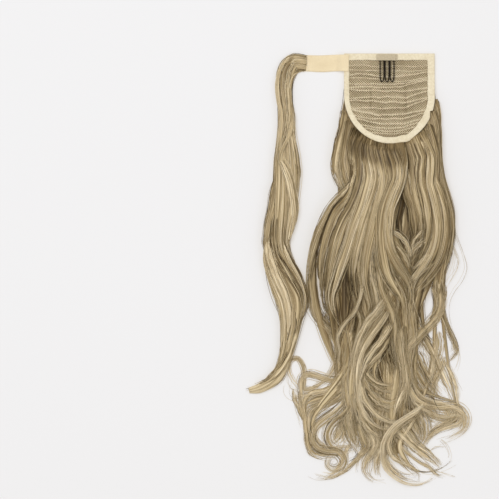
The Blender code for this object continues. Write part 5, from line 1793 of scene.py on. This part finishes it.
ropeLook = {
    "rings": 52, "clumps": 7, "rootSpread": 0.01, "endSpread": 0.10, "twist": -4.0, "wave": 0.0007,
    "jitter": 0.00025, "drift": 0.0015, "radius": hair["strandWidth"], "arc": 1.0, "frizz": 0.3,
}
wrapLockLook = {
    "clumps": 5, "rootSpread": 0.04, "endSpread": 0.22, "twist": 0.4, "wave": 0.0003,
    "jitter": 0.0002, "drift": 0.0012, "radius": hair["strandWidth"] * 0.9, "arc": 0.7, "frizz": 0.2,
}


# wrapHeight in words: a half ellipse across the strand, by how far a place lies from its middle line
def wrapHeight(points, centre, half, tall):
    apart = np.linalg.norm(points[:, None] - centre[None, :, :2], axis=2)
    near = apart.argmin(axis=1)
    off = np.minimum(apart.min(axis=1) / half[near], 0.96)
    return tall[near] * (0.9 + 1.0 * np.sqrt(1 - off**2))


# growOnFloor in words: a lock's strands, kept over the floor
def growOnFloor(line, half, tall, count, seed, look):
    points, radius, tone = growLock(line, half, tall, count, seed, look)
    points[..., 2] = np.maximum(points[..., 2], hair["strandRoom"])
    return points, radius, tone


# growRopes in words: three locks that wind round the strand's middle line, each with its core
def growRopes(centre, half, tall, share, sets, cores):
    left, few, reach = leftOf(centre), wrap["coreRings"], wrap["ropeReach"]
    wide, high = half * wrap["ropeWidth"], tall * wrap["ropeDepth"]
    for lock in range(wrap["ropes"]):
        turn = 2 * math.pi * lock / wrap["ropes"] - wrap["twist"] * share
        place = centre + left * (half * reach * np.cos(turn))[:, None]
        place[:, 2] += tall * reach * np.sin(turn)
        look = {**ropeLook, "tone": 0.54 + 0.05 * (lock - 1)}
        sets.append(growOnFloor(place, wide, high, wrap["strands"], 500 + lock, look))
        cores.append(lockCore(place[few], wide[few], high[few], 20, 7, lock, wrap["coreTone"]))


# growWrapLocks in words: the traced locks, laid over the strand's thickness, thin at both ends
def growWrapLocks(centre, half, tall, sets, cores):
    few = wrap["lockCoreRings"]
    for number, (level, shade, wide, *way) in enumerate(wrapLocks):
        lay = tracedWay(way)
        height = level * wrapHeight(lay, centre, half, tall)
        height *= 1 - 0.35 * (1 - ease(np.linspace(0, 1, len(lay)) / 0.2))
        lay, share, bends = alongBends(np.concatenate([lay, height[:, None]], axis=1), wrap["lockPoints"])
        narrow = (0.10 + 0.90 * ease(share / 0.25)) * (1 - 0.85 * ease((share - 0.66) / 0.34))
        wide = wide * pixel / 2 * narrow * 1.15
        tone = wrap["middleTone"] + (shade - wrap["middleTone"]) * wrap["contrast"]
        look = {**wrapLockLook, "rings": int(26 + min(bends, 8) * 2), "tone": tone}
        count = int(4 + 3.0 * wide.max() * 2 / pixel)
        sets.append(growOnFloor(lay, wide, wide * 0.4, count, 600 + number, look))
        flat = wide * 0.36 * (1 - 0.9 * ease((share - 0.6) / 0.3))
        cores.append(lockCore(lay[few], (wide * 0.85)[few], flat[few], 10, 5, 30 + number, tone))


def makeWrapStrand():
    sections = smoothRoute(wrapSections, np.linspace(0, len(wrapSections) - 1, 260))
    across = sections[:, 0] * wrap["drop"] - halfBase - tapeLook["reach"] + wrap["lap"]
    down = -sections[:, 1] * wrap["drop"] - base["tapeWidth"] / 2
    line = np.stack([across, down, sections[:, 2], sections[:, 3]], axis=1)
    line, share, _ = alongBends(line, wrap["linePoints"])
    half, tall = line[:, 2] * wrap["width"] / 2, line[:, 3] * wrap["depth"] / 2
    centre = np.stack([line[:, 0], line[:, 1], tall * 0.9], axis=1)
    sets, cores = [], []
    growRopes(centre, half, tall, share, sets, cores)
    growWrapLocks(centre, half, tall, sets, cores)
    material = hairMaterial("wrap_strands")
    addTubes("wrap_core", cores, material, "wrap_strand")
    addStrands("wrap_hair", sets, material, "wrap_strand")


def main():
    aimCamera()
    lightStudio()
    net = makeNet()
    rows = makeWeftRows()
    binding = makeBinding()
    strap, band, stitches = makeTapes()
    comb = makeComb()
    tab = makeTab()
    print("base done")
    makeHair()
    makeWrapStrand()


main()
